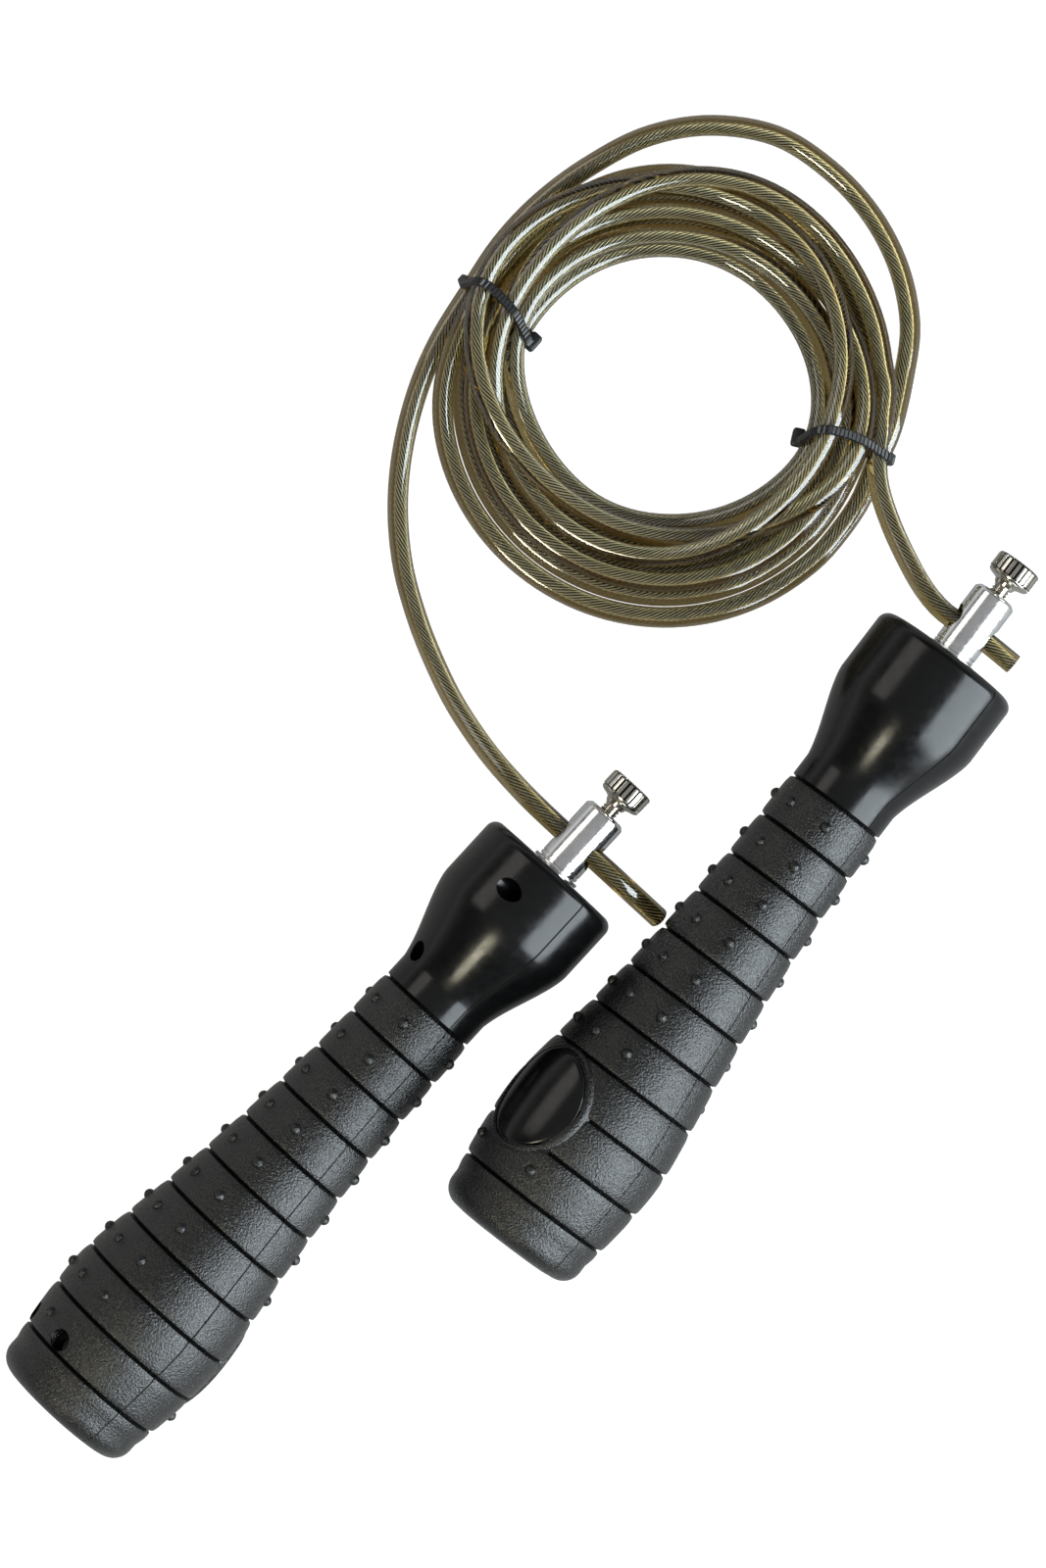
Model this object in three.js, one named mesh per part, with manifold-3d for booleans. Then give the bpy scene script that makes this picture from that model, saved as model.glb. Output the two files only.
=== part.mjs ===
// Adjustable cable jump rope with two ball-bearing handles, coiled and lying flat on a table.
// Millimetres, +Z up. The origin is on the table under the middle of the two handles.
import * as THREE from "three";
import { mergeVertices } from "three/addons/utils/BufferGeometryUtils.js";
import Module from "manifold-3d";

const wasm = await Module();
wasm.setup();

// ---------- driving dimensions ----------

const GAP = 0.3; // clearance between pieces that touch on the real rope
const ROUND_SIDES = 20; // facets of a handle
const SMALL_SIDES = 12; // facets of a spindle, a bearing ring or a thumb screw
const SCREW_SIDES = 8; // facets of an assembly screw

// Handle. Distances along it are counted from the top of its head, towards the butt.
const HANDLE_LENGTH = 165;
const HEAD_RADIUS = 18.1;
const HEAD_CORNER = 2.6;
const HEAD_CYLINDER_END = 16.5;
const NECK_RADIUS = 12.05;
const NECK_START = 36.5;
const GRIP_START = 42;
const BUTT_FLAT_RADIUS = 11;
const BAND_COUNT = 11;
const BAND_PITCH = 11.15;
const BAND_HEIGHT = 0.8;
const GRIP_THICKNESS = 2.2;
const SHELL_WALL = 2.4;
const SHELL_END = 161.5;
const CAVITY_END = 158;

// Radius of the grip at the bottom of its grooves: [distance from the head's top, radius].
const GRIP_OUTLINE = [
  [42, 11.6],
  [65, 12.25],
  [87, 13.85],
  [109, 16.3],
  [131, 19.4],
  [143, 19.3],
  [155, 17.9],
  [161, 16.4],
];

// Oval badge set in the front grip.
const BADGE_AT = 134;
const BADGE_HALF_LENGTH = 12;
const BADGE_HALF_WIDTH = 10.8;
const BADGE_RIM_WIDTH = 1.3;
const BADGE_RIM_HEIGHT = 0.5;

// Assembly screws, driven from the rear half: [name, distance from the head's top, offset to the side].
const SCREWS = [
  ["head_screw_1", 10, 11.9],
  ["head_screw_2", 10, -11.9],
  ["neck_screw", 33.9, 0],
  ["butt_screw_1", 151, 7.7],
  ["butt_screw_2", 151, -7.7],
];
const SCREW_SHANK_RADIUS = 1.1;
const SCREW_HEAD_RADIUS = 2.1;
const SCREW_HEAD_HEIGHT = 1.6;
const SCREW_REACH = 7; // how far the tip goes past the parting plane
const SEAT_DEPTH = 4; // screw seat's distance behind the parting plane
const BOSS_RADIUS = 3.4;
const HOLLOW_START = 31; // behind this the shell is hollow, and its screws run in bosses

// Ball bearings, in the head: 10 mm bore, 19 mm outside, 5 mm wide.
const BEARINGS = [
  ["front_bearing", 4.5],
  ["rear_bearing", 21.5],
];
const BEARING_WIDTH = 4.4;
const POCKET_WIDTH = 5;
const RING_BORE = 5.15;
const INNER_RING_RADIUS = 6.5;
const OUTER_RING_BORE = 8.3;
const OUTER_RING_RADIUS = 9.5;
const RACE_DEPTH = 0.65;
const BALL_RADIUS = 1.3;
const BALL_CIRCLE_RADIUS = 7.4;
const BALL_COUNT = 6;
const CAGE_HALF_THICKNESS = 0.35;
const CAGE_HALF_WIDTH = 0.6;

// Spindle. Distances along it are counted outwards from the head's top.
const POST_RADIUS = 5.25;
const POST_BASE = 1.3;
const POST_END = 17.6;
const POST_CHAMFER = 0.9;
const SHANK_RADIUS = 4.85;
const SHANK_END = -27.5;
const CROSS_HOLE_AT = 8.1;
const CROSS_HOLE_RADIUS = 3.4;
const CLIP_AT = -25;
const CLIP_THICKNESS = 0.8;
const CLIP_GROOVE_RADIUS = 4;

// Thumb screw, number 8-32.
const THREAD_RADIUS = 2.1;
const COLLAR_AT = 19.8;
const KNOB_BASE = 22.1;
const KNOB_END = 26.5;
const KNOB_RADIUS = 5.45;
const FLUTE_COUNT = 24;
const FLUTE_DEPTH = 0.4;
const SLOT_WIDTH = 1.2;
const SLOT_DEPTH = 1.3;

// Cable and its coil.
const CABLE_RADIUS = 2.4;
const CABLE_SIDES = 10;
const COIL_CENTRE = [31.3, 137.4];
const COIL_INNER_RADIUS = 33.9;
const COIL_OUTER_RADIUS = 46.7;
const COIL_HEIGHT = 12.4;
const COIL_CORNER = 3;
const COIL_SIDES = 40;

// Cable ties round the coil: [name, middle of the loop, direction from its inner to its outer end].
const TIES = [
  ["left_cable_tie", [-7.4, 155.6], 138.2],
  ["right_cable_tie", [72.4, 123.8], -12.7],
];
const TIE_SPAN = 23;
const TIE_HEIGHT = 14.4;
const TIE_THICKNESS = 1.1;
const TIE_CORNER = 2.1;
const TIE_WIDTH = 2.5;
const TIE_HEAD = [3, 4.4, 3.8]; // sideways, along the coil, high

// How the two handles lie: head's top on the axis, direction of the axis from butt to head, and the
// roll that brings the front half's middle from straight up to where it faces.
const HANDLE_TILT = 1.03;
const HANDLES = [
  { side: "left", head: [6.2, 29.1, 18.03], heading: 47.4, roll: 123 },
  { side: "right", head: [95, 77.2, 18.03], heading: 52.6, roll: -45 },
];

// Route of the cable's free stretches, from the cut end through the spindle to the coil.
const LEFT_LEAD = [
  [29.8, 18.5, 10.8],
  [24.6, 23.3, 14.8],
  [18.3, 29.1, 17.3],
  [11.7, 35.1, 17.9],
  [5, 41.2, 17.5],
  [-1.5, 47.6, 15.9],
  [-8.8, 56, 12.3],
  [-15.8, 66.3, 8],
  [-20.9, 76.5, 4.9],
  [-25, 87, 3],
  [-28.1, 98.7, 2.5],
  [-29.2, 111.4, 2.5],
  [-28.1, 124.4, 2.5],
  [-24.8, 137.6, 2.7],
  [-19.9, 149, 3.7],
  [-12.8, 160.5, 4.1],
  [-5.4, 171.6, 3.7],
  [3.7, 181.2, 2.7],
  [14.9, 189.4, 2.5],
  [27.5, 195.8, 2.5],
  [41.8, 198.3, 2.5],
  [56.8, 195.9, 2.5],
  [68.9, 188.2, 2.5],
  [78.2, 178.2, 2.5],
  [84.5, 166.2, 2.5],
  [87.1, 153.2, 2.5],
  [85.4, 141.1, 2.8],
  [82.2, 129.2, 3.7],
  [78.2, 121, 4.1],
  [74.5, 112.4, 3.7],
];
const RIGHT_LEAD = [
  [109.5, 75.6, 17.4],
  [105, 79.3, 17.7],
  [99.8, 83.4, 17.8],
  [93.9, 87.4, 17.5],
  [89.6, 92.4, 16.4],
  [85.9, 99.1, 14.2],
  [82.2, 107.6, 11.6],
  [79.6, 116.4, 9.7],
  [79.3, 124.5, 9.3],
  [80.4, 130.5, 9.3],
  [81.1, 137.5, 9.3],
];

// ---------- materials ----------

const finish = (color, roughness, metalness) => new THREE.MeshStandardMaterial({ color, roughness, metalness });
const GLOSS_PLASTIC = finish(0x0b0b0c, 0.15, 0);
const SOFT_GRIP = finish(0x1b1b1d, 0.85, 0);
const SPINDLE_METAL = finish(0xd6dade, 0.18, 1);
const NICKEL = finish(0xd8d0bf, 0.22, 1);
const STEEL = finish(0x9a9da1, 0.3, 1);
const CLEAR_JACKET = finish(0xa98c5a, 0.2, 0);
const TIE_PLASTIC = finish(0x141517, 0.5, 0);

// ---------- solids ----------

// A closed geometry as a manifold solid.
function solid(geometry) {
  const bare = geometry.index ? geometry.toNonIndexed() : geometry.clone();
  bare.deleteAttribute("normal");
  bare.deleteAttribute("uv");
  const merged = mergeVertices(bare, 1e-4);
  return new wasm.Manifold(
    new wasm.Mesh({
      numProp: 3,
      vertProperties: merged.attributes.position.array,
      triVerts: new Uint32Array(merged.index.array),
    }),
  );
}

function mesh(name, shape, material) {
  const { vertProperties, triVerts } = shape.getMesh();
  const geometry = new THREE.BufferGeometry();
  geometry.setAttribute("position", new THREE.BufferAttribute(vertProperties, 3));
  geometry.setIndex(new THREE.BufferAttribute(triVerts, 1));
  geometry.computeVertexNormals();
  const made = new THREE.Mesh(geometry, material);
  made.name = name;
  return made;
}

// A solid turned about the X axis, from an outline of [x, radius] points that runs from high x to low x
// along its outside.
function turned(outline, sides) {
  const points = outline.map(([x, radius]) => new THREE.Vector2(radius, x));
  return solid(new THREE.LatheGeometry(points.reverse(), sides).rotateZ(-Math.PI / 2));
}

// A ring about the X axis between two radii, from x = low to x = high.
function ring(low, high, bore, radius, sides) {
  return turned(
    [
      [low, bore],
      [high, bore],
      [high, radius],
      [low, radius],
      [low, bore],
    ],
    sides,
  );
}

// An upright cylinder, from z = low to z = high.
function upright(radius, low, high, x, y, sides) {
  const geometry = new THREE.CylinderGeometry(radius, radius, high - low, sides);
  return solid(geometry.rotateX(Math.PI / 2).translate(x, y, (low + high) / 2));
}

function ovalShape(halfLength, halfWidth) {
  return new THREE.Shape().absellipse(0, 0, halfLength, halfWidth, 0, 2 * Math.PI);
}

// An upright oval prism over the badge's middle.
function ovalPrism(halfLength, halfWidth, low, high) {
  const geometry = new THREE.ExtrudeGeometry(ovalShape(halfLength, halfWidth), {
    depth: high - low,
    bevelEnabled: false,
    curveSegments: 12,
  });
  return solid(geometry.translate(-BADGE_AT, 0, low));
}

// ---------- handle ----------

// Radius between the outline's points, on a smooth curve through them.
const gripCurve = new THREE.SplineCurve(GRIP_OUTLINE.map(([at, radius]) => new THREE.Vector2(at, radius)));

function grooveRadius(at) {
  let low = 0;
  let high = 1;
  while (high - low > 1e-4) {
    const middle = (low + high) / 2;
    if (gripCurve.getPoint(middle).x < at) low = middle;
    else high = middle;
  }
  return gripCurve.getPoint(low).y;
}

// The shell's seat under the grip, and the hollow inside it, both drawn in by a given depth.
const SEAT_STATIONS = [65, 87, 109, 131, 143, 155];

function insetOutline(depth) {
  return SEAT_STATIONS.map((at) => [-at, grooveRadius(at) - depth]);
}

function roundCorner(x, radius, corner, steps) {
  return Array.from({ length: steps + 1 }, (_, i) => {
    const angle = (i / steps) * (Math.PI / 2);
    return [x - corner + corner * Math.cos(angle), radius - corner + corner * Math.sin(angle)];
  });
}

function outerShellOutline() {
  const seat = NECK_RADIUS - GRIP_THICKNESS - 0.45;
  return [
    ...roundCorner(0, HEAD_RADIUS, HEAD_CORNER, 3),
    [-HEAD_CYLINDER_END, HEAD_RADIUS],
    [-33.5, NECK_RADIUS + 0.55],
    [-NECK_START, NECK_RADIUS],
    [-GRIP_START, NECK_RADIUS],
    [-GRIP_START, seat],
    ...insetOutline(GRIP_THICKNESS),
    [-159.5, grooveRadius(159.5) - 3],
    [-SHELL_END, 10],
  ];
}

function shellBlank() {
  const pocket = OUTER_RING_RADIUS + GAP;
  const rib = OUTER_RING_BORE + 0.3;
  const [[, front], [, rear]] = BEARINGS;
  const half = POCKET_WIDTH / 2;
  const hollow = [
    [-CAVITY_END, 0],
    [-CAVITY_END, 11],
    ...insetOutline(GRIP_THICKNESS + SHELL_WALL).reverse(),
    [-GRIP_START, 7],
    [-HOLLOW_START, 7],
    [-HOLLOW_START, rib],
    [-rear - half, rib],
    [-rear - half, pocket],
    [-rear + half, pocket],
    [-rear + half, rib],
    [-front - half, rib],
    [-front - half, pocket],
    [-front + half, pocket],
    [-front + half, 6.2],
    [0, 6.2],
  ];
  return turned([...hollow, ...outerShellOutline(), [-SHELL_END, 0]], ROUND_SIDES);
}

// Everything on one side of the parting plane, short of it by half the gap.
function halfSpace(sign) {
  const size = 2 * HANDLE_LENGTH;
  const box = new THREE.BoxGeometry(size, size, size);
  return solid(box.translate(-HANDLE_LENGTH / 2, 0, sign * (size / 2 + GAP / 2)));
}

function shellHalf(blank, envelope, sign) {
  let half = blank;
  for (const [, at, side] of SCREWS.filter(([, at]) => at > HOLLOW_START)) {
    half = half.add(upright(BOSS_RADIUS, -HEAD_RADIUS, HEAD_RADIUS, -at, side, SMALL_SIDES).intersect(envelope));
  }
  half = half.intersect(halfSpace(sign));
  for (const [, at, side] of SCREWS) {
    const hole = SCREW_SHANK_RADIUS + GAP;
    half = half.subtract(upright(hole, -SEAT_DEPTH - 1, SCREW_REACH + 0.6, -at, side, SCREW_SIDES));
    if (sign < 0) {
      const bore = SCREW_HEAD_RADIUS + GAP;
      half = half.subtract(upright(bore, -2 * HEAD_RADIUS, -SEAT_DEPTH, -at, side, SMALL_SIDES));
    }
  }
  return half;
}

function gripOutline() {
  const crowns = [];
  for (let band = 0; band < BAND_COUNT; band += 1) {
    const start = GRIP_START + GAP + band * BAND_PITCH;
    const middle = start + BAND_PITCH / 2;
    crowns.push([-start, grooveRadius(start)]);
    if (band < BAND_COUNT - 1) crowns.push([-middle, grooveRadius(middle) + BAND_HEIGHT]);
  }
  return [
    ...crowns,
    [-156, grooveRadius(156) + 0.5],
    [-161.5, 16.4],
    [-164, 14],
    [-HANDLE_LENGTH, BUTT_FLAT_RADIUS],
    [-HANDLE_LENGTH, 0],
  ];
}

function gripBlank() {
  const inset = GRIP_THICKNESS - GAP;
  const seat = NECK_RADIUS - GRIP_THICKNESS - 0.45 + GAP;
  const inside = [
    [-SHELL_END - GAP, 0],
    [-SHELL_END - GAP, 10 + GAP],
    [-159.5, grooveRadius(159.5) - 3 + GAP],
    ...insetOutline(inset).reverse(),
    [-GRIP_START - GAP, seat],
  ];
  return turned([...inside, ...gripOutline()], ROUND_SIDES);
}

// A sleeve that follows the grip over the badge, between two heights above the groove bottoms.
function badgeSleeve(low, high) {
  const stations = [120, 127, 134, 141, 148];
  const inside = stations.map((at) => [-at, grooveRadius(at) + low]).reverse();
  const outside = stations.map((at) => [-at, grooveRadius(at) + high]);
  return turned([...inside, ...outside, inside[0]], ROUND_SIDES);
}

function frontGrip(blank) {
  const rimLength = BADGE_HALF_LENGTH + GAP + BADGE_RIM_WIDTH;
  const rimWidth = BADGE_HALF_WIDTH + GAP + BADGE_RIM_WIDTH;
  const rim = ovalPrism(rimLength, rimWidth, 8, 30);
  const window = ovalPrism(BADGE_HALF_LENGTH + GAP, BADGE_HALF_WIDTH + GAP, 8, 30);
  return blank
    .intersect(halfSpace(1))
    .add(rim.intersect(badgeSleeve(-GRIP_THICKNESS + GAP + 0.05, BAND_HEIGHT + BADGE_RIM_HEIGHT)))
    .subtract(window);
}

function rearGrip(blank) {
  let half = blank.intersect(halfSpace(-1));
  for (const [, at, side] of SCREWS.slice(3)) {
    half = half.subtract(upright(SCREW_HEAD_RADIUS + GAP, -2 * HEAD_RADIUS, 0, -at, side, SMALL_SIDES));
  }
  return half;
}

function badge() {
  const oval = ovalPrism(BADGE_HALF_LENGTH, BADGE_HALF_WIDTH, 8, 30);
  return oval.intersect(badgeSleeve(-GRIP_THICKNESS + 2 * GAP, BAND_HEIGHT));
}

function assemblyScrew(at, side) {
  const top = -SEAT_DEPTH - GAP;
  const head = upright(SCREW_HEAD_RADIUS, top - SCREW_HEAD_HEIGHT, top, -at, side, SCREW_SIDES);
  return head.add(upright(SCREW_SHANK_RADIUS, top - 0.5, SCREW_REACH, -at, side, SCREW_SIDES));
}

// ---------- bearings ----------

function innerRing(at) {
  const half = BEARING_WIDTH / 2;
  const race = BALL_RADIUS * 0.9;
  return turned(
    [
      [-at - half, RING_BORE],
      [-at + half, RING_BORE],
      [-at + half, INNER_RING_RADIUS],
      [-at + race, INNER_RING_RADIUS],
      [-at + race / 2, INNER_RING_RADIUS - RACE_DEPTH],
      [-at - race / 2, INNER_RING_RADIUS - RACE_DEPTH],
      [-at - race, INNER_RING_RADIUS],
      [-at - half, INNER_RING_RADIUS],
      [-at - half, RING_BORE],
    ],
    SMALL_SIDES,
  );
}

function outerRing(at) {
  const half = BEARING_WIDTH / 2;
  const race = BALL_RADIUS * 0.9;
  return turned(
    [
      [-at - half, OUTER_RING_BORE],
      [-at - race, OUTER_RING_BORE],
      [-at - race / 2, OUTER_RING_BORE + RACE_DEPTH],
      [-at + race / 2, OUTER_RING_BORE + RACE_DEPTH],
      [-at + race, OUTER_RING_BORE],
      [-at + half, OUTER_RING_BORE],
      [-at + half, OUTER_RING_RADIUS],
      [-at - half, OUTER_RING_RADIUS],
      [-at - half, OUTER_RING_BORE],
    ],
    ROUND_SIDES,
  );
}

// The balls and the cage that spaces them, as one solid.
function ballsAndCage(at) {
  const inside = BALL_CIRCLE_RADIUS - CAGE_HALF_THICKNESS;
  const outside = BALL_CIRCLE_RADIUS + CAGE_HALF_THICKNESS;
  let set = ring(-at - CAGE_HALF_WIDTH, -at + CAGE_HALF_WIDTH, inside, outside, SMALL_SIDES);
  for (let i = 0; i < BALL_COUNT; i += 1) {
    const angle = (i / BALL_COUNT) * 2 * Math.PI;
    const ball = new THREE.SphereGeometry(BALL_RADIUS, 6, 3);
    const y = BALL_CIRCLE_RADIUS * Math.cos(angle);
    const z = BALL_CIRCLE_RADIUS * Math.sin(angle);
    set = set.add(solid(ball.translate(-at, y, z)));
  }
  return set;
}

// ---------- spindle and thumb screw ----------

function spindle() {
  const body = turned(
    [
      [POST_END, 0],
      [POST_END, POST_RADIUS - POST_CHAMFER],
      [POST_END - POST_CHAMFER, POST_RADIUS],
      [POST_BASE, POST_RADIUS],
      [POST_BASE, SHANK_RADIUS],
      [CLIP_AT + 0.7, SHANK_RADIUS],
      [CLIP_AT + 0.7, CLIP_GROOVE_RADIUS],
      [CLIP_AT - 0.7, CLIP_GROOVE_RADIUS],
      [CLIP_AT - 0.7, SHANK_RADIUS],
      [SHANK_END, SHANK_RADIUS],
      [SHANK_END, 0],
    ],
    ROUND_SIDES,
  );
  const across = new THREE.CylinderGeometry(CROSS_HOLE_RADIUS, CROSS_HOLE_RADIUS, 20, SMALL_SIDES);
  const tapped = new THREE.CylinderGeometry(THREAD_RADIUS + GAP, THREAD_RADIUS + GAP, 14, SMALL_SIDES);
  return body
    .subtract(solid(across.translate(CROSS_HOLE_AT, 0, 0)))
    .subtract(solid(tapped.rotateZ(Math.PI / 2).translate(CROSS_HOLE_AT + 7, 0, 0)));
}

function spindleWasher() {
  return ring(GAP, POST_BASE - GAP, RING_BORE, POST_RADIUS + 0.35, ROUND_SIDES);
}

function retainingClip() {
  const open = 0.6;
  const shape = new THREE.Shape();
  shape.absarc(0, 0, 7, open, 2 * Math.PI - open, false);
  shape.absarc(0, 0, CLIP_GROOVE_RADIUS + GAP, 2 * Math.PI - open, open, true);
  shape.closePath();
  const options = { depth: CLIP_THICKNESS, bevelEnabled: false, curveSegments: SMALL_SIDES };
  const geometry = new THREE.ExtrudeGeometry(shape, options);
  return solid(geometry.rotateY(Math.PI / 2).translate(CLIP_AT - CLIP_THICKNESS / 2, 0, 0));
}

function thumbScrew() {
  const body = turned(
    [
      [KNOB_END, 0],
      [KNOB_END, KNOB_RADIUS - 0.8],
      [KNOB_END - 0.5, KNOB_RADIUS - 0.6],
      [KNOB_BASE, KNOB_RADIUS - 0.6],
      [COLLAR_AT + 0.4, THREAD_RADIUS + 0.5],
      [COLLAR_AT, THREAD_RADIUS],
      [CROSS_HOLE_AT + CABLE_RADIUS + GAP, THREAD_RADIUS],
      [CROSS_HOLE_AT + CABLE_RADIUS + GAP, 0],
    ],
    SMALL_SIDES,
  );
  const outline = new THREE.Shape();
  for (let i = 0; i < 2 * FLUTE_COUNT; i += 1) {
    const angle = (i / FLUTE_COUNT) * Math.PI;
    const radius = KNOB_RADIUS - (i % 2) * FLUTE_DEPTH;
    if (i === 0) outline.moveTo(radius, 0);
    else outline.lineTo(radius * Math.cos(angle), radius * Math.sin(angle));
  }
  outline.closePath();
  const knurl = new THREE.ExtrudeGeometry(outline, { depth: KNOB_END - KNOB_BASE - 0.7, bevelEnabled: false });
  const slot = new THREE.BoxGeometry(2 * SLOT_DEPTH, 3 * KNOB_RADIUS, SLOT_WIDTH);
  return body
    .add(solid(knurl.rotateY(Math.PI / 2).translate(KNOB_BASE + 0.3, 0, 0)))
    .subtract(solid(slot.translate(KNOB_END, 0, 0)));
}

// ---------- cable ----------

function cableTube(points) {
  const curve = new THREE.CatmullRomCurve3(points.map((point) => new THREE.Vector3(...point)));
  const circle = new THREE.Shape();
  for (let i = 0; i < CABLE_SIDES; i += 1) {
    const angle = (i / CABLE_SIDES) * 2 * Math.PI;
    const x = CABLE_RADIUS * Math.cos(angle);
    const y = CABLE_RADIUS * Math.sin(angle);
    if (i === 0) circle.moveTo(x, y);
    else circle.lineTo(x, y);
  }
  circle.closePath();
  const steps = Math.round(curve.getLength() / (5 * CABLE_RADIUS));
  return solid(new THREE.ExtrudeGeometry(circle, { steps, extrudePath: curve, bevelEnabled: false }));
}

// The eight wound turns as one round-cornered ring, notched underneath where the ties pass.
function coil() {
  const middle = (COIL_INNER_RADIUS + COIL_OUTER_RADIUS) / 2;
  const half = (COIL_OUTER_RADIUS - COIL_INNER_RADIUS) / 2;
  const section = [
    [middle - half + COIL_CORNER, 0],
    [middle + half - COIL_CORNER, 0],
    [middle + half, COIL_CORNER],
    [middle + half, COIL_HEIGHT - COIL_CORNER],
    [middle + half - COIL_CORNER, COIL_HEIGHT],
    [middle - half + COIL_CORNER, COIL_HEIGHT],
    [middle - half, COIL_HEIGHT - COIL_CORNER],
    [middle - half, COIL_CORNER],
    [middle - half + COIL_CORNER, 0],
  ];
  const points = section.map(([radius, height]) => new THREE.Vector2(radius, height));
  const turns = new THREE.LatheGeometry(points, COIL_SIDES).rotateX(Math.PI / 2);
  let wound = solid(turns.translate(...COIL_CENTRE, 0));
  for (const [, [x, y], heading] of TIES) {
    const notch = new THREE.BoxGeometry(TIE_SPAN + 8, TIE_WIDTH + 2 * GAP, 2 * (TIE_THICKNESS + GAP));
    wound = wound.subtract(solid(notch.rotateZ(THREE.MathUtils.degToRad(heading)).translate(x, y, 0)));
  }
  return wound;
}

function roundedRectangle(path, width, height, corner) {
  path.moveTo(-width / 2 + corner, 0);
  path.lineTo(width / 2 - corner, 0);
  path.absarc(width / 2 - corner, corner, corner, -Math.PI / 2, 0, false);
  path.lineTo(width / 2, height - corner);
  path.absarc(width / 2 - corner, height - corner, corner, 0, Math.PI / 2, false);
  path.lineTo(-width / 2 + corner, height);
  path.absarc(-width / 2 + corner, height - corner, corner, Math.PI / 2, Math.PI, false);
  path.lineTo(-width / 2, corner);
  path.absarc(-width / 2 + corner, corner, corner, Math.PI, 1.5 * Math.PI, false);
  return path;
}

// A closed tie: its strap stands upright round the bundle, and its head is low on the inner side.
function cableTie() {
  const strap = roundedRectangle(new THREE.Shape(), TIE_SPAN, TIE_HEIGHT, TIE_CORNER);
  const inside = roundedRectangle(
    new THREE.Path(),
    TIE_SPAN - 2 * TIE_THICKNESS,
    TIE_HEIGHT - 2 * TIE_THICKNESS,
    TIE_CORNER - TIE_THICKNESS,
  );
  strap.holes.push(new THREE.Path(inside.getPoints(4).map((p) => p.clone().setY(p.y + TIE_THICKNESS))));
  const loop = new THREE.ExtrudeGeometry(strap, { depth: TIE_WIDTH, bevelEnabled: false, curveSegments: 4 });
  const [across, along, high] = TIE_HEAD;
  const head = new THREE.BoxGeometry(across, along, high);
  return solid(loop.rotateX(Math.PI / 2).translate(0, TIE_WIDTH / 2, 0)).add(
    solid(head.translate(-TIE_SPAN / 2 - across / 2 + 0.6, 0, TIE_HEIGHT * 0.3)),
  );
}

// ---------- assembly ----------

const jumpRope = new THREE.Group();

function addHandle({ side, head, heading, roll }) {
  const onAxis = new THREE.Group();
  onAxis.position.set(...head);
  onAxis.rotation.set(0, THREE.MathUtils.degToRad(HANDLE_TILT), THREE.MathUtils.degToRad(heading), "ZYX");
  const rolled = new THREE.Group();
  rolled.rotation.x = THREE.MathUtils.degToRad(roll);
  onAxis.add(rolled);

  const blank = shellBlank();
  const envelope = turned([[0, 0], ...outerShellOutline(), [-SHELL_END, 0]], ROUND_SIDES);
  const grip = gripBlank();
  rolled.add(mesh(`${side}_front_shell`, shellHalf(blank, envelope, 1), GLOSS_PLASTIC));
  rolled.add(mesh(`${side}_rear_shell`, shellHalf(blank, envelope, -1), GLOSS_PLASTIC));
  rolled.add(mesh(`${side}_front_grip`, frontGrip(grip), SOFT_GRIP));
  rolled.add(mesh(`${side}_rear_grip`, rearGrip(grip), SOFT_GRIP));
  rolled.add(mesh(`${side}_badge`, badge(), GLOSS_PLASTIC));
  for (const [name, at, offset] of SCREWS) {
    rolled.add(mesh(`${side}_${name}`, assemblyScrew(at, offset), STEEL));
  }
  for (const [name, at] of BEARINGS) {
    onAxis.add(mesh(`${side}_${name}_outer_ring`, outerRing(at), STEEL));
    onAxis.add(mesh(`${side}_${name}_inner_ring`, innerRing(at), STEEL));
    onAxis.add(mesh(`${side}_${name}_balls`, ballsAndCage(at), STEEL));
  }
  onAxis.add(mesh(`${side}_spindle`, spindle(), SPINDLE_METAL));
  onAxis.add(mesh(`${side}_spindle_washer`, spindleWasher(), STEEL));
  onAxis.add(mesh(`${side}_retaining_clip`, retainingClip(), STEEL));
  onAxis.add(mesh(`${side}_thumb_screw`, thumbScrew(), NICKEL));
  jumpRope.add(onAxis);
}

HANDLES.forEach(addHandle);

jumpRope.add(mesh("cable_left_lead", cableTube(LEFT_LEAD), CLEAR_JACKET));
jumpRope.add(mesh("cable_coil", coil(), CLEAR_JACKET));
jumpRope.add(mesh("cable_right_lead", cableTube(RIGHT_LEAD), CLEAR_JACKET));
for (const [name, [x, y], heading] of TIES) {
  const tie = mesh(name, cableTie(), TIE_PLASTIC);
  tie.position.set(x, y, 0);
  tie.rotation.z = THREE.MathUtils.degToRad(heading);
  jumpRope.add(tie);
}

export default jumpRope;
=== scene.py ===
"""Looks of an adjustable cable jump rope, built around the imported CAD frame.

Everything is in metres in the row frame. A handle's own pieces are drawn in millimetres in its own frame: the
origin is the middle of the head's flat top, X runs out along the axis, and +Z is the front half. A distance
named s is counted the other way, from the head's top towards the butt.
"""

import math

import bmesh
import bpy
import numpy as np
from mathutils import Matrix, Vector


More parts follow.
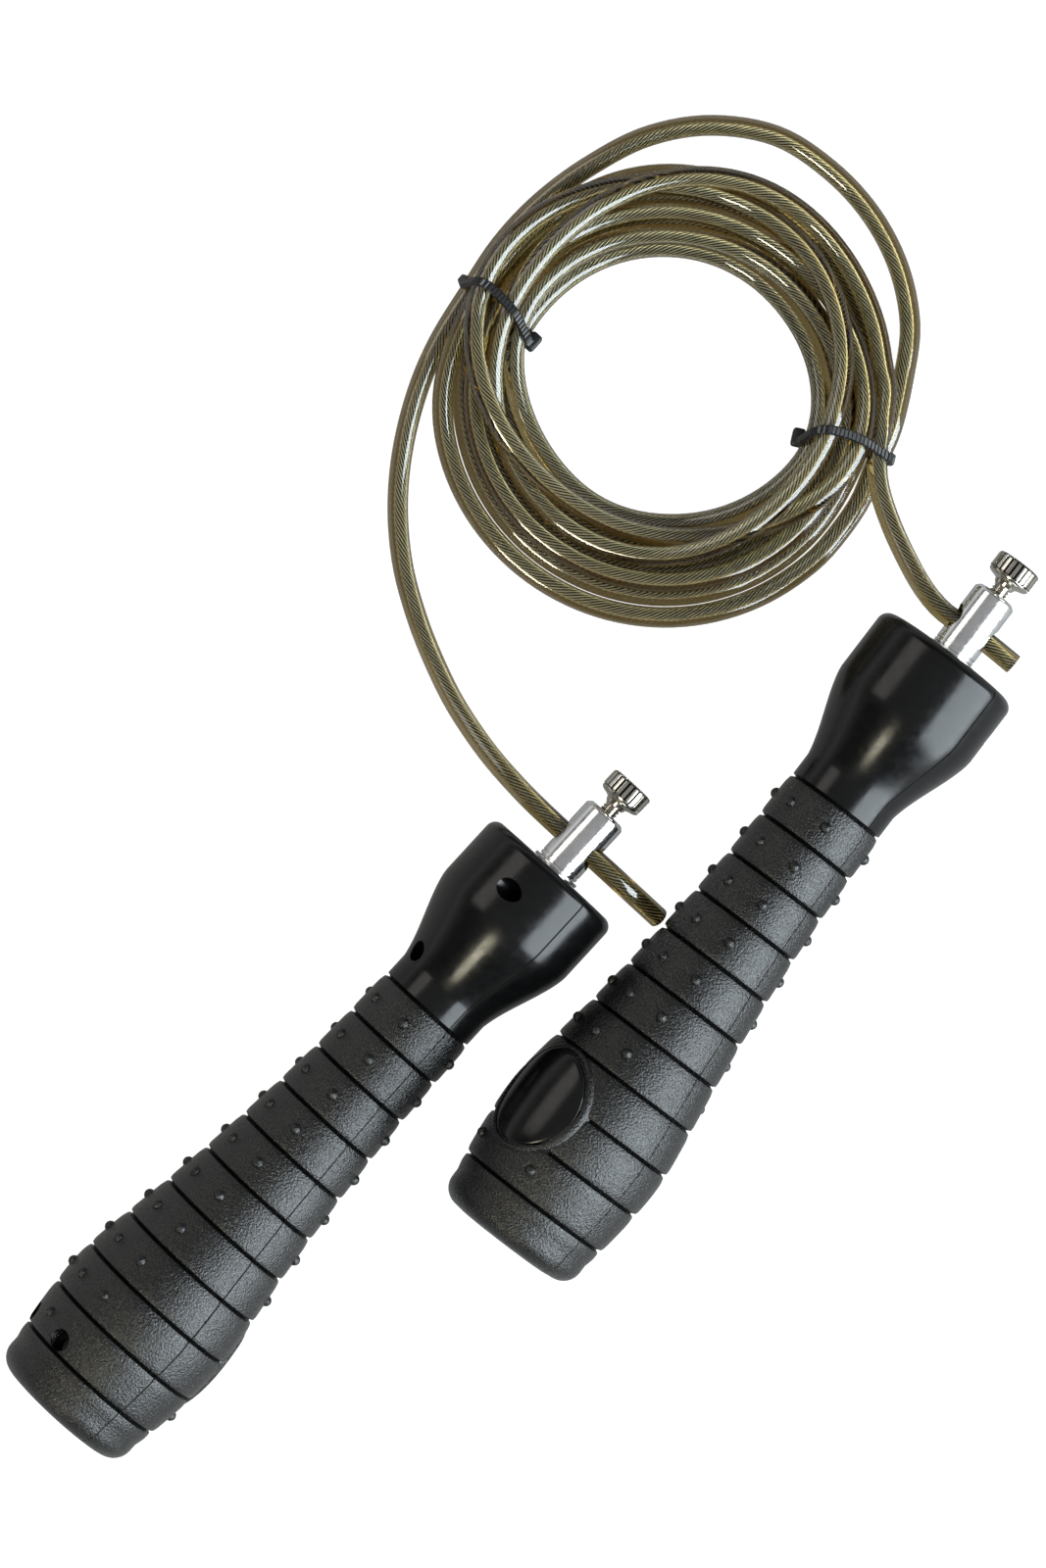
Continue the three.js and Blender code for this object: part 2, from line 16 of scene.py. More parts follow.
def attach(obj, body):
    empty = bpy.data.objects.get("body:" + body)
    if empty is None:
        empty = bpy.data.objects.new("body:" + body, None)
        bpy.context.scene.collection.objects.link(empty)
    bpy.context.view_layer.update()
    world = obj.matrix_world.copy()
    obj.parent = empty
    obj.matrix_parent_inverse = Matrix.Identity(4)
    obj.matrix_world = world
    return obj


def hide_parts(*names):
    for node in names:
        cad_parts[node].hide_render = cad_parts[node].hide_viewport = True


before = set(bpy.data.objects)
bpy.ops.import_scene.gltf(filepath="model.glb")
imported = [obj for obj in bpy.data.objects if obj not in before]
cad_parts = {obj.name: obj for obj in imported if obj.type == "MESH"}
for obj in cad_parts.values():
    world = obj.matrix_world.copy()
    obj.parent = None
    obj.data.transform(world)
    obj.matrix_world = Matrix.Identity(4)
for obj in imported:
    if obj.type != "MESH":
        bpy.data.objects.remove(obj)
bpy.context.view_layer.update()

MM = 0.001
CABLE_DIAMETER = 0.0048
CORE_RADIUS = 0.0009

# ---------- handles, in millimetres and degrees ----------

HANDLE_TILT = 1.03
# Each handle: the middle of its head's top, its heading, and its roll about its axis.
HANDLES = {
    "left": ((6.2, 29.1, 18.03), 47.4, 123),
    "right": ((95.0, 77.2, 18.03), 52.6, -45),
}
HEAD_RADIUS = 18.1
HEAD_CORNER = 2.6
TAPER_START = 16.5
TAPER_LENGTH = 20
NECK_RADIUS = 12.05
NECK_LIP = 0.2
SPINDLE_OPENING = 6.2
SHELL_WALL = 2.4
BEARING_POCKET = 9.6
HOLLOW_START = 31
GRIP_START = 42.0
BAND_START = 42.3
BAND_PITCH = 11.15
BAND_COUNT = 11
BAND_HEIGHT = 0.8
HANDLE_LENGTH = 165.0
# The grip's radius at the bottom of its grooves: (s, radius).
GROOVES = [
    (42, 11.6), (65, 12.25), (87, 13.85), (109, 16.3), (131, 19.4), (143, 19.3), (155, 17.9), (161, 16.4),
]
# Each assembly screw: s, and how far it is off to the side.
SCREWS = {
    "head_screw_1": (10, 11.9),
    "head_screw_2": (10, -11.9),
    "neck_screw": (33.9, 0),
    "butt_screw_1": (151, 7.7),
    "butt_screw_2": (151, -7.7),
}
COUNTERBORE_RADIUS = 2.4
COUNTERBORE_FLOOR = -4.2
BADGE_AT = 134
BADGE_HALF_LENGTH = 12
BADGE_HALF_WIDTH = 10.8

# ---------- cable route ----------

# The leads' middle lines, in metres, from the tails inwards on the left and outwards on the right.
LEFT_LEAD = [
    (0.0298, 0.0185, 0.0108), (0.0246, 0.0233, 0.0148), (0.0183, 0.0291, 0.0173), (0.0117, 0.0351, 0.0179),
    (0.0050, 0.0412, 0.0175), (-0.0015, 0.0476, 0.0159), (-0.0088, 0.0560, 0.0123), (-0.0158, 0.0663, 0.0080),
    (-0.0209, 0.0765, 0.0049), (-0.0250, 0.0870, 0.0030), (-0.0281, 0.0987, 0.0025), (-0.0292, 0.1114, 0.0025),
    (-0.0281, 0.1244, 0.0025), (-0.0248, 0.1376, 0.0027), (-0.0199, 0.1490, 0.0037), (-0.0128, 0.1605, 0.0041),
    (-0.0054, 0.1716, 0.0037), (0.0037, 0.1812, 0.0027), (0.0149, 0.1894, 0.0025), (0.0275, 0.1958, 0.0025),
    (0.0418, 0.1983, 0.0025), (0.0568, 0.1959, 0.0025), (0.0689, 0.1882, 0.0025), (0.0782, 0.1782, 0.0025),
    (0.0845, 0.1662, 0.0025), (0.0871, 0.1532, 0.0025), (0.0854, 0.1411, 0.0028), (0.0822, 0.1292, 0.0037),
    (0.0782, 0.1210, 0.0041), (0.0745, 0.1124, 0.0037),
]
RIGHT_LEAD = [
    (0.0811, 0.1375, 0.0093), (0.0804, 0.1305, 0.0093), (0.0793, 0.1245, 0.0093), (0.0796, 0.1164, 0.0097),
    (0.0822, 0.1076, 0.0116), (0.0859, 0.0991, 0.0142), (0.0896, 0.0924, 0.0164), (0.0939, 0.0874, 0.0175),
    (0.0998, 0.0834, 0.0178), (0.1050, 0.0793, 0.0177), (0.1095, 0.0756, 0.0174),
]
COIL_CENTRE = (0.0313, 0.1374)
# Each turn, clockwise from the right tie: angle in degrees, distance from the coil's middle and height in mm.
COIL_TURNS = [
    [(-90, 50.4, 2.4), (-150, 50.2, 2.4), (-185, 49.8, 3.4), (-205, 47.4, 8.0), (-240, 48.8, 4.2),
     (-270, 49.6, 2.4), (-320, 47.6, 2.4), (-360, 47.2, 2.4), (-378, 44.8, 3.6)],
    [(-90, 45.6, 2.4), (-150, 45.4, 2.4), (-205, 44.8, 3.6), (-270, 44.8, 2.4), (-320, 43.0, 2.4),
     (-360, 42.4, 2.4), (-378, 40.0, 3.6)],
    [(-90, 40.8, 2.4), (-150, 40.6, 2.4), (-205, 40.0, 3.6), (-270, 40.0, 2.4), (-320, 38.2, 2.4),
     (-360, 37.6, 2.4), (-378, 35.2, 3.6)],
    [(-90, 36.0, 2.4), (-150, 35.8, 2.4), (-205, 35.2, 3.6), (-270, 34.2, 2.6), (-320, 34.6, 4.6),
     (-360, 36.0, 6.8), (-378, 35.8, 8.0)],
    [(-90, 32.0, 2.4), (-150, 33.0, 5.0), (-205, 37.8, 7.8), (-270, 37.4, 6.8), (-320, 40.2, 6.8),
     (-360, 41.0, 6.8), (-378, 40.6, 8.0)],
    [(-90, 41.4, 6.8), (-150, 42.0, 6.8), (-205, 42.6, 7.8), (-270, 42.4, 6.8), (-320, 45.0, 6.8),
     (-360, 45.8, 6.8), (-378, 45.4, 8.0)],
    [(-40, 39.5, 9.0), (-65, 34.2, 8.2), (-90, 32.2, 7.2), (-118, 32.0, 7.2), (-140, 33.8, 7.6),
     (-161, 37.5, 9.5), (-180, 41.6, 11.2), (-193, 45.0, 11.6), (-205, 47.0, 12.0), (-222, 48.4, 9.4),
     (-240, 47.4, 7.6), (-270, 46.2, 7.0), (-300, 44.6, 8.6), (-330, 42.4, 11.0), (-360, 40.4, 11.2),
     (-378, 38.6, 12.0)],
    [(-50, 37.4, 8.4), (-90, 36.8, 6.8), (-150, 35.8, 6.8), (-175, 35.3, 8.4), (-205, 36.4, 11.8),
     (-225, 38.6, 11.4), (-248, 43.0, 11.2), (-270, 46.2, 11.4), (-300, 47.8, 11.0), (-335, 48.6, 9.6),
     (-360, 49.2, 9.3)],
]
COIL_START, COIL_END = -44, -2880
COIL_SMOOTHING = 14
# Each tie: its place on the floor in metres, and the heading across the strands that it holds.
TIES = {"left": ((-0.0074, 0.1556), 138.2), "right": ((0.0724, 0.1238), -12.7)}

# How the cable is laid: the step between its points, the rounds, and the least distance between two turns.
SETTLE_STEP = 0.0024
SETTLE_ROUNDS = 320
SINK_PER_ROUND = 0.00003
PULL_BACK = 0.995
CONTACT = 0.00492
LOWEST = 0.0024
# Inside a tie: how far it reaches along and across the coil, its half width, and the lowest strand.
TIE_REACH = (0.004, 0.016)
TIE_HALF_WIDTH = 0.0084
TIE_LOWEST = 0.0036


# ---------- curves ----------

def catmull_rom(points, step):
    """Points about one step apart on a smooth curve through the given points."""
    points = np.array(points, float)
    ends = np.vstack([2 * points[0] - points[1], points, 2 * points[-1] - points[-2]])
    found = []
    for a, b, c, d in zip(ends, ends[1:], ends[2:], ends[3:]):
        count = max(2, int(np.ceil(np.linalg.norm(c - b) / step * 4)))
        t = np.arange(count)[:, None] / count
        bend, twist = 2 * a - 5 * b + 4 * c - d, 3 * b - a - 3 * c + d
        found.append(0.5 * (2 * b + (c - a) * t + bend * t ** 2 + twist * t ** 3))
    return evenly(np.vstack(found + [points[-1:]]), step)


def evenly(line, step):
    """The line again, with points evenly spaced, about one step apart."""
    along = np.concatenate([[0], np.cumsum(np.linalg.norm(np.diff(line, axis=0), axis=1))])
    at = np.linspace(0, along[-1], max(2, int(round(along[-1] / step)) + 1))
    return np.stack([np.interp(at, along, line[:, axis]) for axis in range(3)], axis=1)


def coil_route():
    """The coil's turns, each drifting smoothly from one lane to the next."""
    stations = [(-30.0, 49.9, 3.7)]
    for turn, lane in enumerate(COIL_TURNS):
        stations += [(angle - 360 * turn, radius, height) for angle, radius, height in lane]
    angles, radii, heights = np.array(stations).T
    at = np.arange(COIL_START, COIL_END - 0.1, -2.0)
    window = np.hanning(2 * COIL_SMOOTHING + 1)
    window /= window.sum()
    rows = []
    for values in (radii, heights):
        drawn = np.interp(-at, -angles, values)
        padded = np.concatenate([[drawn[0]] * COIL_SMOOTHING, drawn, [drawn[-1]] * COIL_SMOOTHING])
        rows.append(np.convolve(padded, window, "valid") * MM)
    radius, height = rows
    turned = np.radians(at)
    flat = [COIL_CENTRE[0] + radius * np.cos(turned), COIL_CENTRE[1] + radius * np.sin(turned), height]
    return np.stack(flat, axis=1)[::5]


def close_pairs(line, within, apart):
    """Index pairs of points on different stretches of the line that are near each other."""
    squared = ((line[:, None, :] - line[None, :, :]) ** 2).sum(2)
    i, j = np.nonzero(squared < within ** 2)
    keep = j - i > apart
    return i[keep], j[keep]


def smoother(fixed, stiffness):
    """The matrix that spreads each point's shift along the cable, as its stiffness does."""
    count = len(fixed)
    second = np.zeros((count - 2, count))
    rows = np.arange(count - 2)
    second[rows, rows], second[rows, rows + 1], second[rows, rows + 2] = 1, -2, 1
    hold = np.diag(np.where(fixed, 1e5, 1.0))
    return np.linalg.inv(hold + stiffness * second.T @ second) @ hold


def tie_places(line):
    """For each tie, the places of the points along and across it, and its direction across."""
    found = []
    for (x, y), heading in TIES.values():
        turned = math.radians(heading)
        across = np.array([math.cos(turned), math.sin(turned)])
        along = np.array([-across[1], across[0]])
        offset = line[:, :2] - (x, y)
        found.append((offset @ along, offset @ across, across))
    return found


def push_apart(line, pairs, fixed):
    """How far each point has to move so that touching turns lie a diameter apart."""
    i, j = pairs
    gap = line[i] - line[j]
    far = np.linalg.norm(gap, axis=1)
    deep = np.maximum(CONTACT - far, 0)
    push = gap / np.maximum(far, 1e-9)[:, None] * deep[:, None]
    push *= np.where(fixed[i] | fixed[j], 1.0, 0.5)[:, None]
    shift, count = np.zeros_like(line), np.zeros(len(line))
    for index, sign in ((i, 1), (j, -1)):
        for axis in range(3):
            shift[:, axis] += np.bincount(index, sign * push[:, axis], len(line))
        count += np.bincount(index, deep > 0, len(line))
    return shift / np.maximum(count / 2, 1)[:, None]


def settled(route, fixed):
    """Lays the cable: turns a diameter apart, pulled down onto the floor, gathered in the ties."""
    line = route.copy()
    free = np.where(fixed, 0.0, 1.0)[:, None]
    stiff, slack = smoother(fixed, 40.0), smoother(fixed, 2.0)
    for step in range(SETTLE_ROUNDS):
        if step % 8 == 0:
            pairs = close_pairs(line, 1.5 * CONTACT, 6)
        late = step > 0.8 * SETTLE_ROUNDS
        line[:, 2] -= free[:, 0] * (0 if late else SINK_PER_ROUND)
        for _ in range(3):
            line += free * push_apart(line, pairs, fixed)
            line[:, 2] = np.where(fixed, line[:, 2], np.maximum(line[:, 2], LOWEST))
            for along, across, direction in tie_places(line):
                inside = (np.abs(along) < TIE_REACH[0]) & (np.abs(across) < TIE_REACH[1]) & ~fixed
                excess = np.clip(across, -TIE_HALF_WIDTH, TIE_HALF_WIDTH) - across
                line[inside, :2] += 0.5 * excess[inside, None] * direction
                line[inside, 2] = np.maximum(line[inside, 2], TIE_LOWEST)
        shift = line - route
        if not late:
            shift[:, :2] *= PULL_BACK
        line = route + (slack if late else stiff) @ shift
    return line


def cable_line():
    """The whole cable's middle line, from the tail at the left post to the tail at the right post."""
    left = catmull_rom(LEFT_LEAD, SETTLE_STEP)
    right = catmull_rom(RIGHT_LEAD, SETTLE_STEP)
    route = catmull_rom(np.vstack([LEFT_LEAD, coil_route(), RIGHT_LEAD]), SETTLE_STEP)
    fixed = np.zeros(len(route), bool)
    fixed[: int(0.86 * len(left))] = True
    fixed[-int(0.78 * len(right)):] = True
    return settled(route, fixed)


# ---------- meshes ----------

def mesh_object(name, points, faces, place=None, sharp=40):
    """A smooth-shaded mesh, with its points moved by place and its normals facing out."""
    mesh = bpy.data.meshes.new(name)
    mesh.from_pydata([tuple(p) for p in points], [], [tuple(f) for f in faces])
    built = bmesh.new()
    built.from_mesh(mesh)
    bmesh.ops.remove_doubles(built, verts=built.verts, dist=1e-6 if place is None else 1e-3)
    bmesh.ops.recalc_face_normals(built, faces=built.faces)
    built.to_mesh(mesh)
    built.free()
    if place is not None:
        mesh.transform(place)
    finish_mesh(mesh, sharp)
    found = bpy.data.objects.new(name, mesh)
    bpy.context.scene.collection.objects.link(found)
    return found


def finish_mesh(mesh, sharp):
    """Smooth shading, with an edge kept sharp where it turns more than this many degrees."""
    mesh.shade_smooth()
    mesh.set_sharp_from_angle(angle=math.radians(sharp))


def grid_faces(rows, columns, closed_rows=False, closed_columns=False):
    """Quads of a grid whose points are stored row by row."""
    found = []
    for row in range(rows if closed_rows else rows - 1):
        for column in range(columns if closed_columns else columns - 1):
            next_row, next_column = (row + 1) % rows, (column + 1) % columns
            found.append((
                row * columns + column, row * columns + next_column,
                next_row * columns + next_column, next_row * columns + column,
            ))
    return found


def capped(rows, sides):
    """Faces of a stack of closed rings, with a cap on its first and last ring."""
    last = (rows - 1) * sides
    faces = grid_faces(rows, sides, closed_columns=True)
    return faces + [tuple(range(sides)), tuple(range(last, last + sides))]


def transported(line):
    """Two directions square to the line at each point, turning no more than the line does."""
    forward = np.gradient(line, axis=0)
    forward /= np.linalg.norm(forward, axis=1)[:, None]
    side = np.cross(forward[0], (0, 0, 1))
    sides = []
    for direction in forward:
        side = side - direction * (side @ direction)
        side = side / np.linalg.norm(side)
        sides.append(side)
    sides = np.array(sides)
    return sides, np.cross(forward, sides)


def tube(name, line, radii, lay=None):
    """A closed tube along a line. radii go round one ring; a lay is the length in which it turns once."""
    sides, ups = transported(line)
    count = len(radii)
    angles = np.arange(count) * 2 * math.pi / count
    along = np.concatenate([[0], np.cumsum(np.linalg.norm(np.diff(line, axis=0), axis=1))])
    twist = np.zeros(len(line)) if lay is None else -2 * math.pi * along / lay
    turned = angles[None, :] + twist[:, None]
    across = np.cos(turned)[:, :, None] * sides[:, None, :] + np.sin(turned)[:, :, None] * ups[:, None, :]
    points = (line[:, None, :] + across * np.array(radii)[None, :, None]).reshape(-1, 3)
    faces = grid_faces(len(line), count, closed_columns=True)
    last = len(points) - count
    faces += [tuple(range(count))[::-1], tuple(range(last, last + count))]
    return mesh_object(name, points, faces, sharp=60)


def carve(target, cutters, sharp=40):
    """Cuts the cutters out of the target and removes them."""
    for cutter in cutters:
        cut = target.modifiers.new("cut", "BOOLEAN")
        cut.operation, cut.solver, cut.object = "DIFFERENCE", "EXACT", cutter
    evaluated = target.evaluated_get(bpy.context.evaluated_depsgraph_get())
    mesh = bpy.data.meshes.new_from_object(evaluated)
    target.modifiers.clear()
    target.data = mesh
    finish_mesh(mesh, sharp)
    for cutter in cutters:
        bpy.data.objects.remove(cutter)
    return target


def rod(name, start, end, radius, place, sides=32):
    """A plain cutter rod between two points."""
    start, end = Vector(start), Vector(end)
    turn = (end - start).to_track_quat("Z", "Y").to_matrix()
    points = []
    for middle in (start, end):
        for k in range(sides):
            angle = 2 * math.pi * k / sides
            points.append(middle + turn @ Vector((radius * math.cos(angle), radius * math.sin(angle), 0)))
    return mesh_object(name, points, capped(2, sides), place)


def lathe(name, profile, place, sides=64, radius_at=None, sharp=40):
    """A solid turned round X from a profile of (x, r); radius_at may vary r with x and angle."""
    points = []
    for x, radius in profile:
        for k in range(sides):
            angle = 2 * math.pi * k / sides
            r = radius if radius_at is None else radius_at(x, radius, angle)
            points.append((x, r * math.cos(angle), r * math.sin(angle)))
    return mesh_object(name, points, capped(len(profile), sides), place, sharp)


def ring_solid(name, section, place, sides=72):
    """A closed ring turned round X from a section of (x, r)."""
    points = []
    for k in range(sides):
        turn = 2 * math.pi * k / sides
        points += [(x, r * math.cos(turn), r * math.sin(turn)) for x, r in section]
    faces = grid_faces(sides, len(section), closed_rows=True, closed_columns=True)
    return mesh_object(name, points, faces, place, 30)


SEAM_REACH = 0.011
SEAM_EDGE = (0.0, 0.25, 0.6)
HALF_GAP = 0.004


def half_turned(name, outside, inside, front, place, seam=0.16, steps=56):
    """Half of a turned wall, with a fine groove where it meets the other half. Outlines are (s, r) lists."""
    reach = SEAM_REACH
    turn = [reach * e for e in SEAM_EDGE] + [reach]
    turn += list(np.linspace(reach * 2, math.pi - reach * 2, steps)) + [math.pi - reach]
    turn += [math.pi - reach * e for e in reversed(SEAM_EDGE)]
    profile = list(outside) + list(reversed(inside))
    sign = 1 if front else -1
    points = []
    for angle in turn:
        near = min(angle, math.pi - angle) / reach
        for index, (s, r) in enumerate(profile):
            drop = seam * max(0.0, 1 - near) if index < len(outside) else 0
            radius = max(r - drop, 0)
            points.append((-s, radius * math.cos(angle), sign * max(radius * math.sin(angle), HALF_GAP)))
    count = len(profile)
    faces = grid_faces(len(turn), count, closed_columns=True)
    last = len(points) - count
    faces += [tuple(range(count)), tuple(range(last, last + count))]
    return mesh_object(name, points, faces, place, 32)


# ---------- a handle's outlines, as (s, radius) ----------

GROOVE_LINE = catmull_rom([(s, radius, 0) for s, radius in GROOVES], 0.5)
BAND_SAMPLES = (
    0, 0.022, 0.044, 0.07, 0.1, 0.14, 0.18, 0.22, 0.28, 0.4, 0.55, 0.7, 0.82, 0.86, 0.9, 0.93, 0.955, 0.977,
)
LAST_BAND_SAMPLES = BAND_SAMPLES[:10]
BUTT_ROUND = (160.2, 13.4, 4.6)
HEAD_SHOULDER = 2.8
BUTT_SHOULDER = 1.8
NOTCH_REACH = 0.5
NOTCH_DEPTH = 0.5


def groove_radius(s):
    """The grip's radius at the bottom of its grooves."""
    return float(np.interp(s, GROOVE_LINE[:, 0], GROOVE_LINE[:, 1]))


def shoulder(away, reach, step):
    """From 0 at a groove to 1 on the crown: a short step, then a round shoulder."""
    rounded = min(away / reach, 1.0)
    return step * min(1.0, away / NOTCH_REACH) + (1 - step) * (1 - (1 - rounded) ** 2)


def band_rise(t):
    """A band's height over the grooves, at a share t of its pitch."""
    head_side = shoulder(t * BAND_PITCH, HEAD_SHOULDER, 0.45)
    crown = BAND_HEIGHT * head_side * shoulder((1 - t) * BAND_PITCH, BUTT_SHOULDER, 0.5)
    return crown - NOTCH_DEPTH * max(0.0, 1 - min(t, 1 - t) * BAND_PITCH / NOTCH_REACH)


def grip_outline():
    """The grip's outside from its front edge to the middle of the butt."""
    outline = [(GRIP_START, 11.0), (GRIP_START, 11.5)]
    for band in range(BAND_COUNT):
        for t in LAST_BAND_SAMPLES if band == BAND_COUNT - 1 else BAND_SAMPLES:
            s = BAND_START + (band + t) * BAND_PITCH
            outline.append((s, groove_radius(s) + band_rise(t)))
    corner_s, corner_r, rounding = BUTT_ROUND
    for degrees in range(0, 91, 10):
        turn = math.radians(degrees)
        outline.append((corner_s + rounding * math.sin(turn), corner_r + rounding * math.cos(turn)))
    outline += [(HANDLE_LENGTH, 12.2), (HANDLE_LENGTH, 11.0), (HANDLE_LENGTH, 0)]
    return outline


def shell_outline():
    """The head's and neck's outside; the rest is under the grip."""
    top = HEAD_RADIUS - HEAD_CORNER
    outline = [(0.0, SPINDLE_OPENING), (0.0, top - 1.4), (0.05, top)]
    for degrees in range(10, 91, 10):
        turn = math.radians(degrees)
        outline.append((HEAD_CORNER - HEAD_CORNER * math.cos(turn), top + HEAD_CORNER * math.sin(turn)))
    for s in (5, 8, 11, 14, 16):
        outline.append((s, HEAD_RADIUS))
    for t in np.linspace(0.04, 1, 22):
        s = TAPER_START + TAPER_LENGTH * t
        ease = t * t * (3 - 2 * t) * 0.45 + t * 0.55
        outline.append((s, HEAD_RADIUS + (NECK_RADIUS - HEAD_RADIUS) * min(1, ease)))
    for s in (37.5, 39, 40.5, 41.8):
        outline.append((s, NECK_RADIUS))
    outline += [(41.97, NECK_RADIUS - NECK_LIP), (41.97, 9.6), (60, 9.6), (87, 11.2), (109, 13.6)]
    outline += [(131, 16.6), (143, 16.6), (158, 14.8), (161, 10.0)]
    return outline


# ---------- materials ----------

def material_named(name):
    """A new material with its nodes, links and shader."""
    made = bpy.data.materials.new(name)
    made.use_nodes = True
    tree = made.node_tree
    return made, tree, tree.nodes["Principled BSDF"]


def coordinates(tree):
    """Each object's own coordinates, in metres."""
    return tree.nodes.new("ShaderNodeTexCoord").outputs["Object"]


def noise(tree, vector, scale, detail=3.0, roughness=0.55, stretch=None):
    """Noise of a scale per metre, with its coordinates stretched if asked."""
    if stretch is not None:
        mapping = tree.nodes.new("ShaderNodeMapping")
        mapping.inputs["Scale"].default_value = stretch
        tree.links.new(vector, mapping.inputs["Vector"])
        vector = mapping.outputs["Vector"]
    node = tree.nodes.new("ShaderNodeTexNoise")
    node.inputs["Scale"].default_value = scale
    node.inputs["Detail"].default_value = detail
    node.inputs["Roughness"].default_value = roughness
    tree.links.new(vector, node.inputs["Vector"])
    return node.outputs["Fac"]


def ramp(tree, value, stops):
    """Colours, or grey levels given as numbers, along a value."""
    node = tree.nodes.new("ShaderNodeValToRGB")
    elements = node.color_ramp.elements
    for index, (position, colour) in enumerate(stops):
        element = elements[index] if index < 2 else elements.new(position)
        element.position = position
        element.color = (colour, colour, colour, 1) if isinstance(colour, (int, float)) else (*colour, 1)
    tree.links.new(value, node.inputs["Fac"])
    return node.outputs["Color"]


def bump(tree, shader, height, strength, distance):
    node = tree.nodes.new("ShaderNodeBump")
    node.inputs["Strength"].default_value = strength
    node.inputs["Distance"].default_value = distance
    tree.links.new(height, node.inputs["Height"])
    tree.links.new(node.outputs["Normal"], shader.inputs["Normal"])


def math_node(tree, operation, value, *numbers):
    """A math node whose first input is a link and whose others are numbers."""
    node = tree.nodes.new("ShaderNodeMath")
    node.operation = operation
    tree.links.new(value, node.inputs[0])
    for index, number in enumerate(numbers, 1):
        node.inputs[index].default_value = number
    return node.outputs["Value"]


def light_path(tree, output):
    return tree.nodes.new("ShaderNodeLightPath").outputs[output]


def gloss_plastic():
    made, tree, shader = material_named("gloss_black_plastic")
    place = coordinates(tree)
    patches = noise(tree, place, 60, 4)
    tone = ramp(tree, patches, [(0.3, (0.0014, 0.0015, 0.0016)), (0.75, (0.003, 0.0032, 0.0034))])
    tree.links.new(tone, shader.inputs["Base Color"])
    shader.inputs["Specular IOR Level"].default_value = 0.34
    rough = ramp(tree, noise(tree, place, 420, 6, 0.7), [(0.35, 0.16), (0.72, 0.28)])
    tree.links.new(rough, shader.inputs["Roughness"])
    bump(tree, shader, noise(tree, place, 900, 2), 0.08, 0.00008)
    return made


def soft_grip():
    made, tree, shader = material_named("grip_rubber")
    place = coordinates(tree)
    grain = noise(tree, place, 1900, 2.5, 0.6)
    wear = noise(tree, place, 90, 5, 0.6)
    tone = ramp(tree, wear, [(0.3, (0.0014, 0.0015, 0.0016)), (0.7, (0.0034, 0.0036, 0.0038))])
    tree.links.new(tone, shader.inputs["Base Color"])
    shader.inputs["Specular IOR Level"].default_value = 0.56
    tree.links.new(ramp(tree, grain, [(0.38, 0.3), (0.62, 0.12)]), shader.inputs["Roughness"])
    bump(tree, shader, grain, 1.0, 0.0003)
    return made


def metal(name, dark, light, rough, streaks, strength):
    """A metal between two colours and two roughnesses, with fine worked marks."""
    made, tree, shader = material_named(name)
    shader.inputs["Metallic"].default_value = 1.0
    place = coordinates(tree)
    tone = ramp(tree, noise(tree, place, 240, 5, 0.65), [(0.3, dark), (0.7, light)])
    tree.links.new(tone, shader.inputs["Base Color"])
    lines = noise(tree, place, 1.0, 3, 0.6, stretch=(streaks, streaks, streaks))
    tree.links.new(ramp(tree, lines, [(0.3, rough[0]), (0.75, rough[1])]), shader.inputs["Roughness"])
    bump(tree, shader, lines, strength, 0.00003)
    return made


def wire_rope():
    made, tree, shader = material_named("wire_rope")
    shader.inputs["Metallic"].default_value = 0.6
    place = coordinates(tree)
    tarnish = noise(tree, place, 700, 3, 0.6)
    tone = ramp(tree, tarnish, [(0.3, (0.86, 0.93, 0.95)), (0.7, (0.96, 0.99, 1.0))])
    tree.links.new(tone, shader.inputs["Base Color"])
    rough = ramp(tree, noise(tree, place, 1600), [(0.3, 0.34), (0.7, 0.5)])
    tree.links.new(rough, shader.inputs["Roughness"])
    bump(tree, shader, noise(tree, place, 5200, 1), 0.35, 0.00005)
    return made


def wire_gap_painted_shade():
    """Painted shade: a near-black material put on the faces between two wires, and at the foot of a knob's
    flutes, where shade falls.
    """
    made, tree, shader = material_named("wire_gap_painted_shade")
    place = coordinates(tree)
    # Patchy near-black tone of the painted shade.
    painted_shade_patches = noise(tree, place, 900, 3)
    tone = ramp(tree, painted_shade_patches, [(0.3, (0.002, 0.002, 0.0015)), (0.7, (0.006, 0.006, 0.005))])
    tree.links.new(tone, shader.inputs["Base Color"])
    rough = ramp(tree, noise(tree, place, 1600), [(0.3, 0.4), (0.7, 0.6)])
    tree.links.new(rough, shader.inputs["Roughness"])
    return made


def clear_jacket():
    made, tree, shader = material_named("clear_jacket")
    shader.inputs["Transmission Weight"].default_value = 1.0
    shader.inputs["IOR"].default_value = 1.5
    shader.inputs["Coat Weight"].default_value = 0.8
    shader.inputs["Coat Roughness"].default_value = 0.08
    shader.inputs["Coat IOR"].default_value = 1.6
    place = coordinates(tree)
    tone = ramp(tree, noise(tree, place, 160, 3), [(0.3, (0.9, 0.89, 0.86)), (0.7, (0.99, 0.985, 0.97))])
    tree.links.new(tone, shader.inputs["Base Color"])
    rough = ramp(tree, noise(tree, place, 500, 4), [(0.35, 0.0), (0.75, 0.015)])
    tree.links.new(rough, shader.inputs["Roughness"])
    inner = tree.nodes.new("ShaderNodeVolumeAbsorption")
    inner.inputs["Color"].default_value = (0.63, 0.478, 0.0, 1)
    inner.inputs["Density"].default_value = 420
    tree.links.new(inner.outputs["Volume"], tree.nodes["Material Output"].inputs["Volume"])
    return made


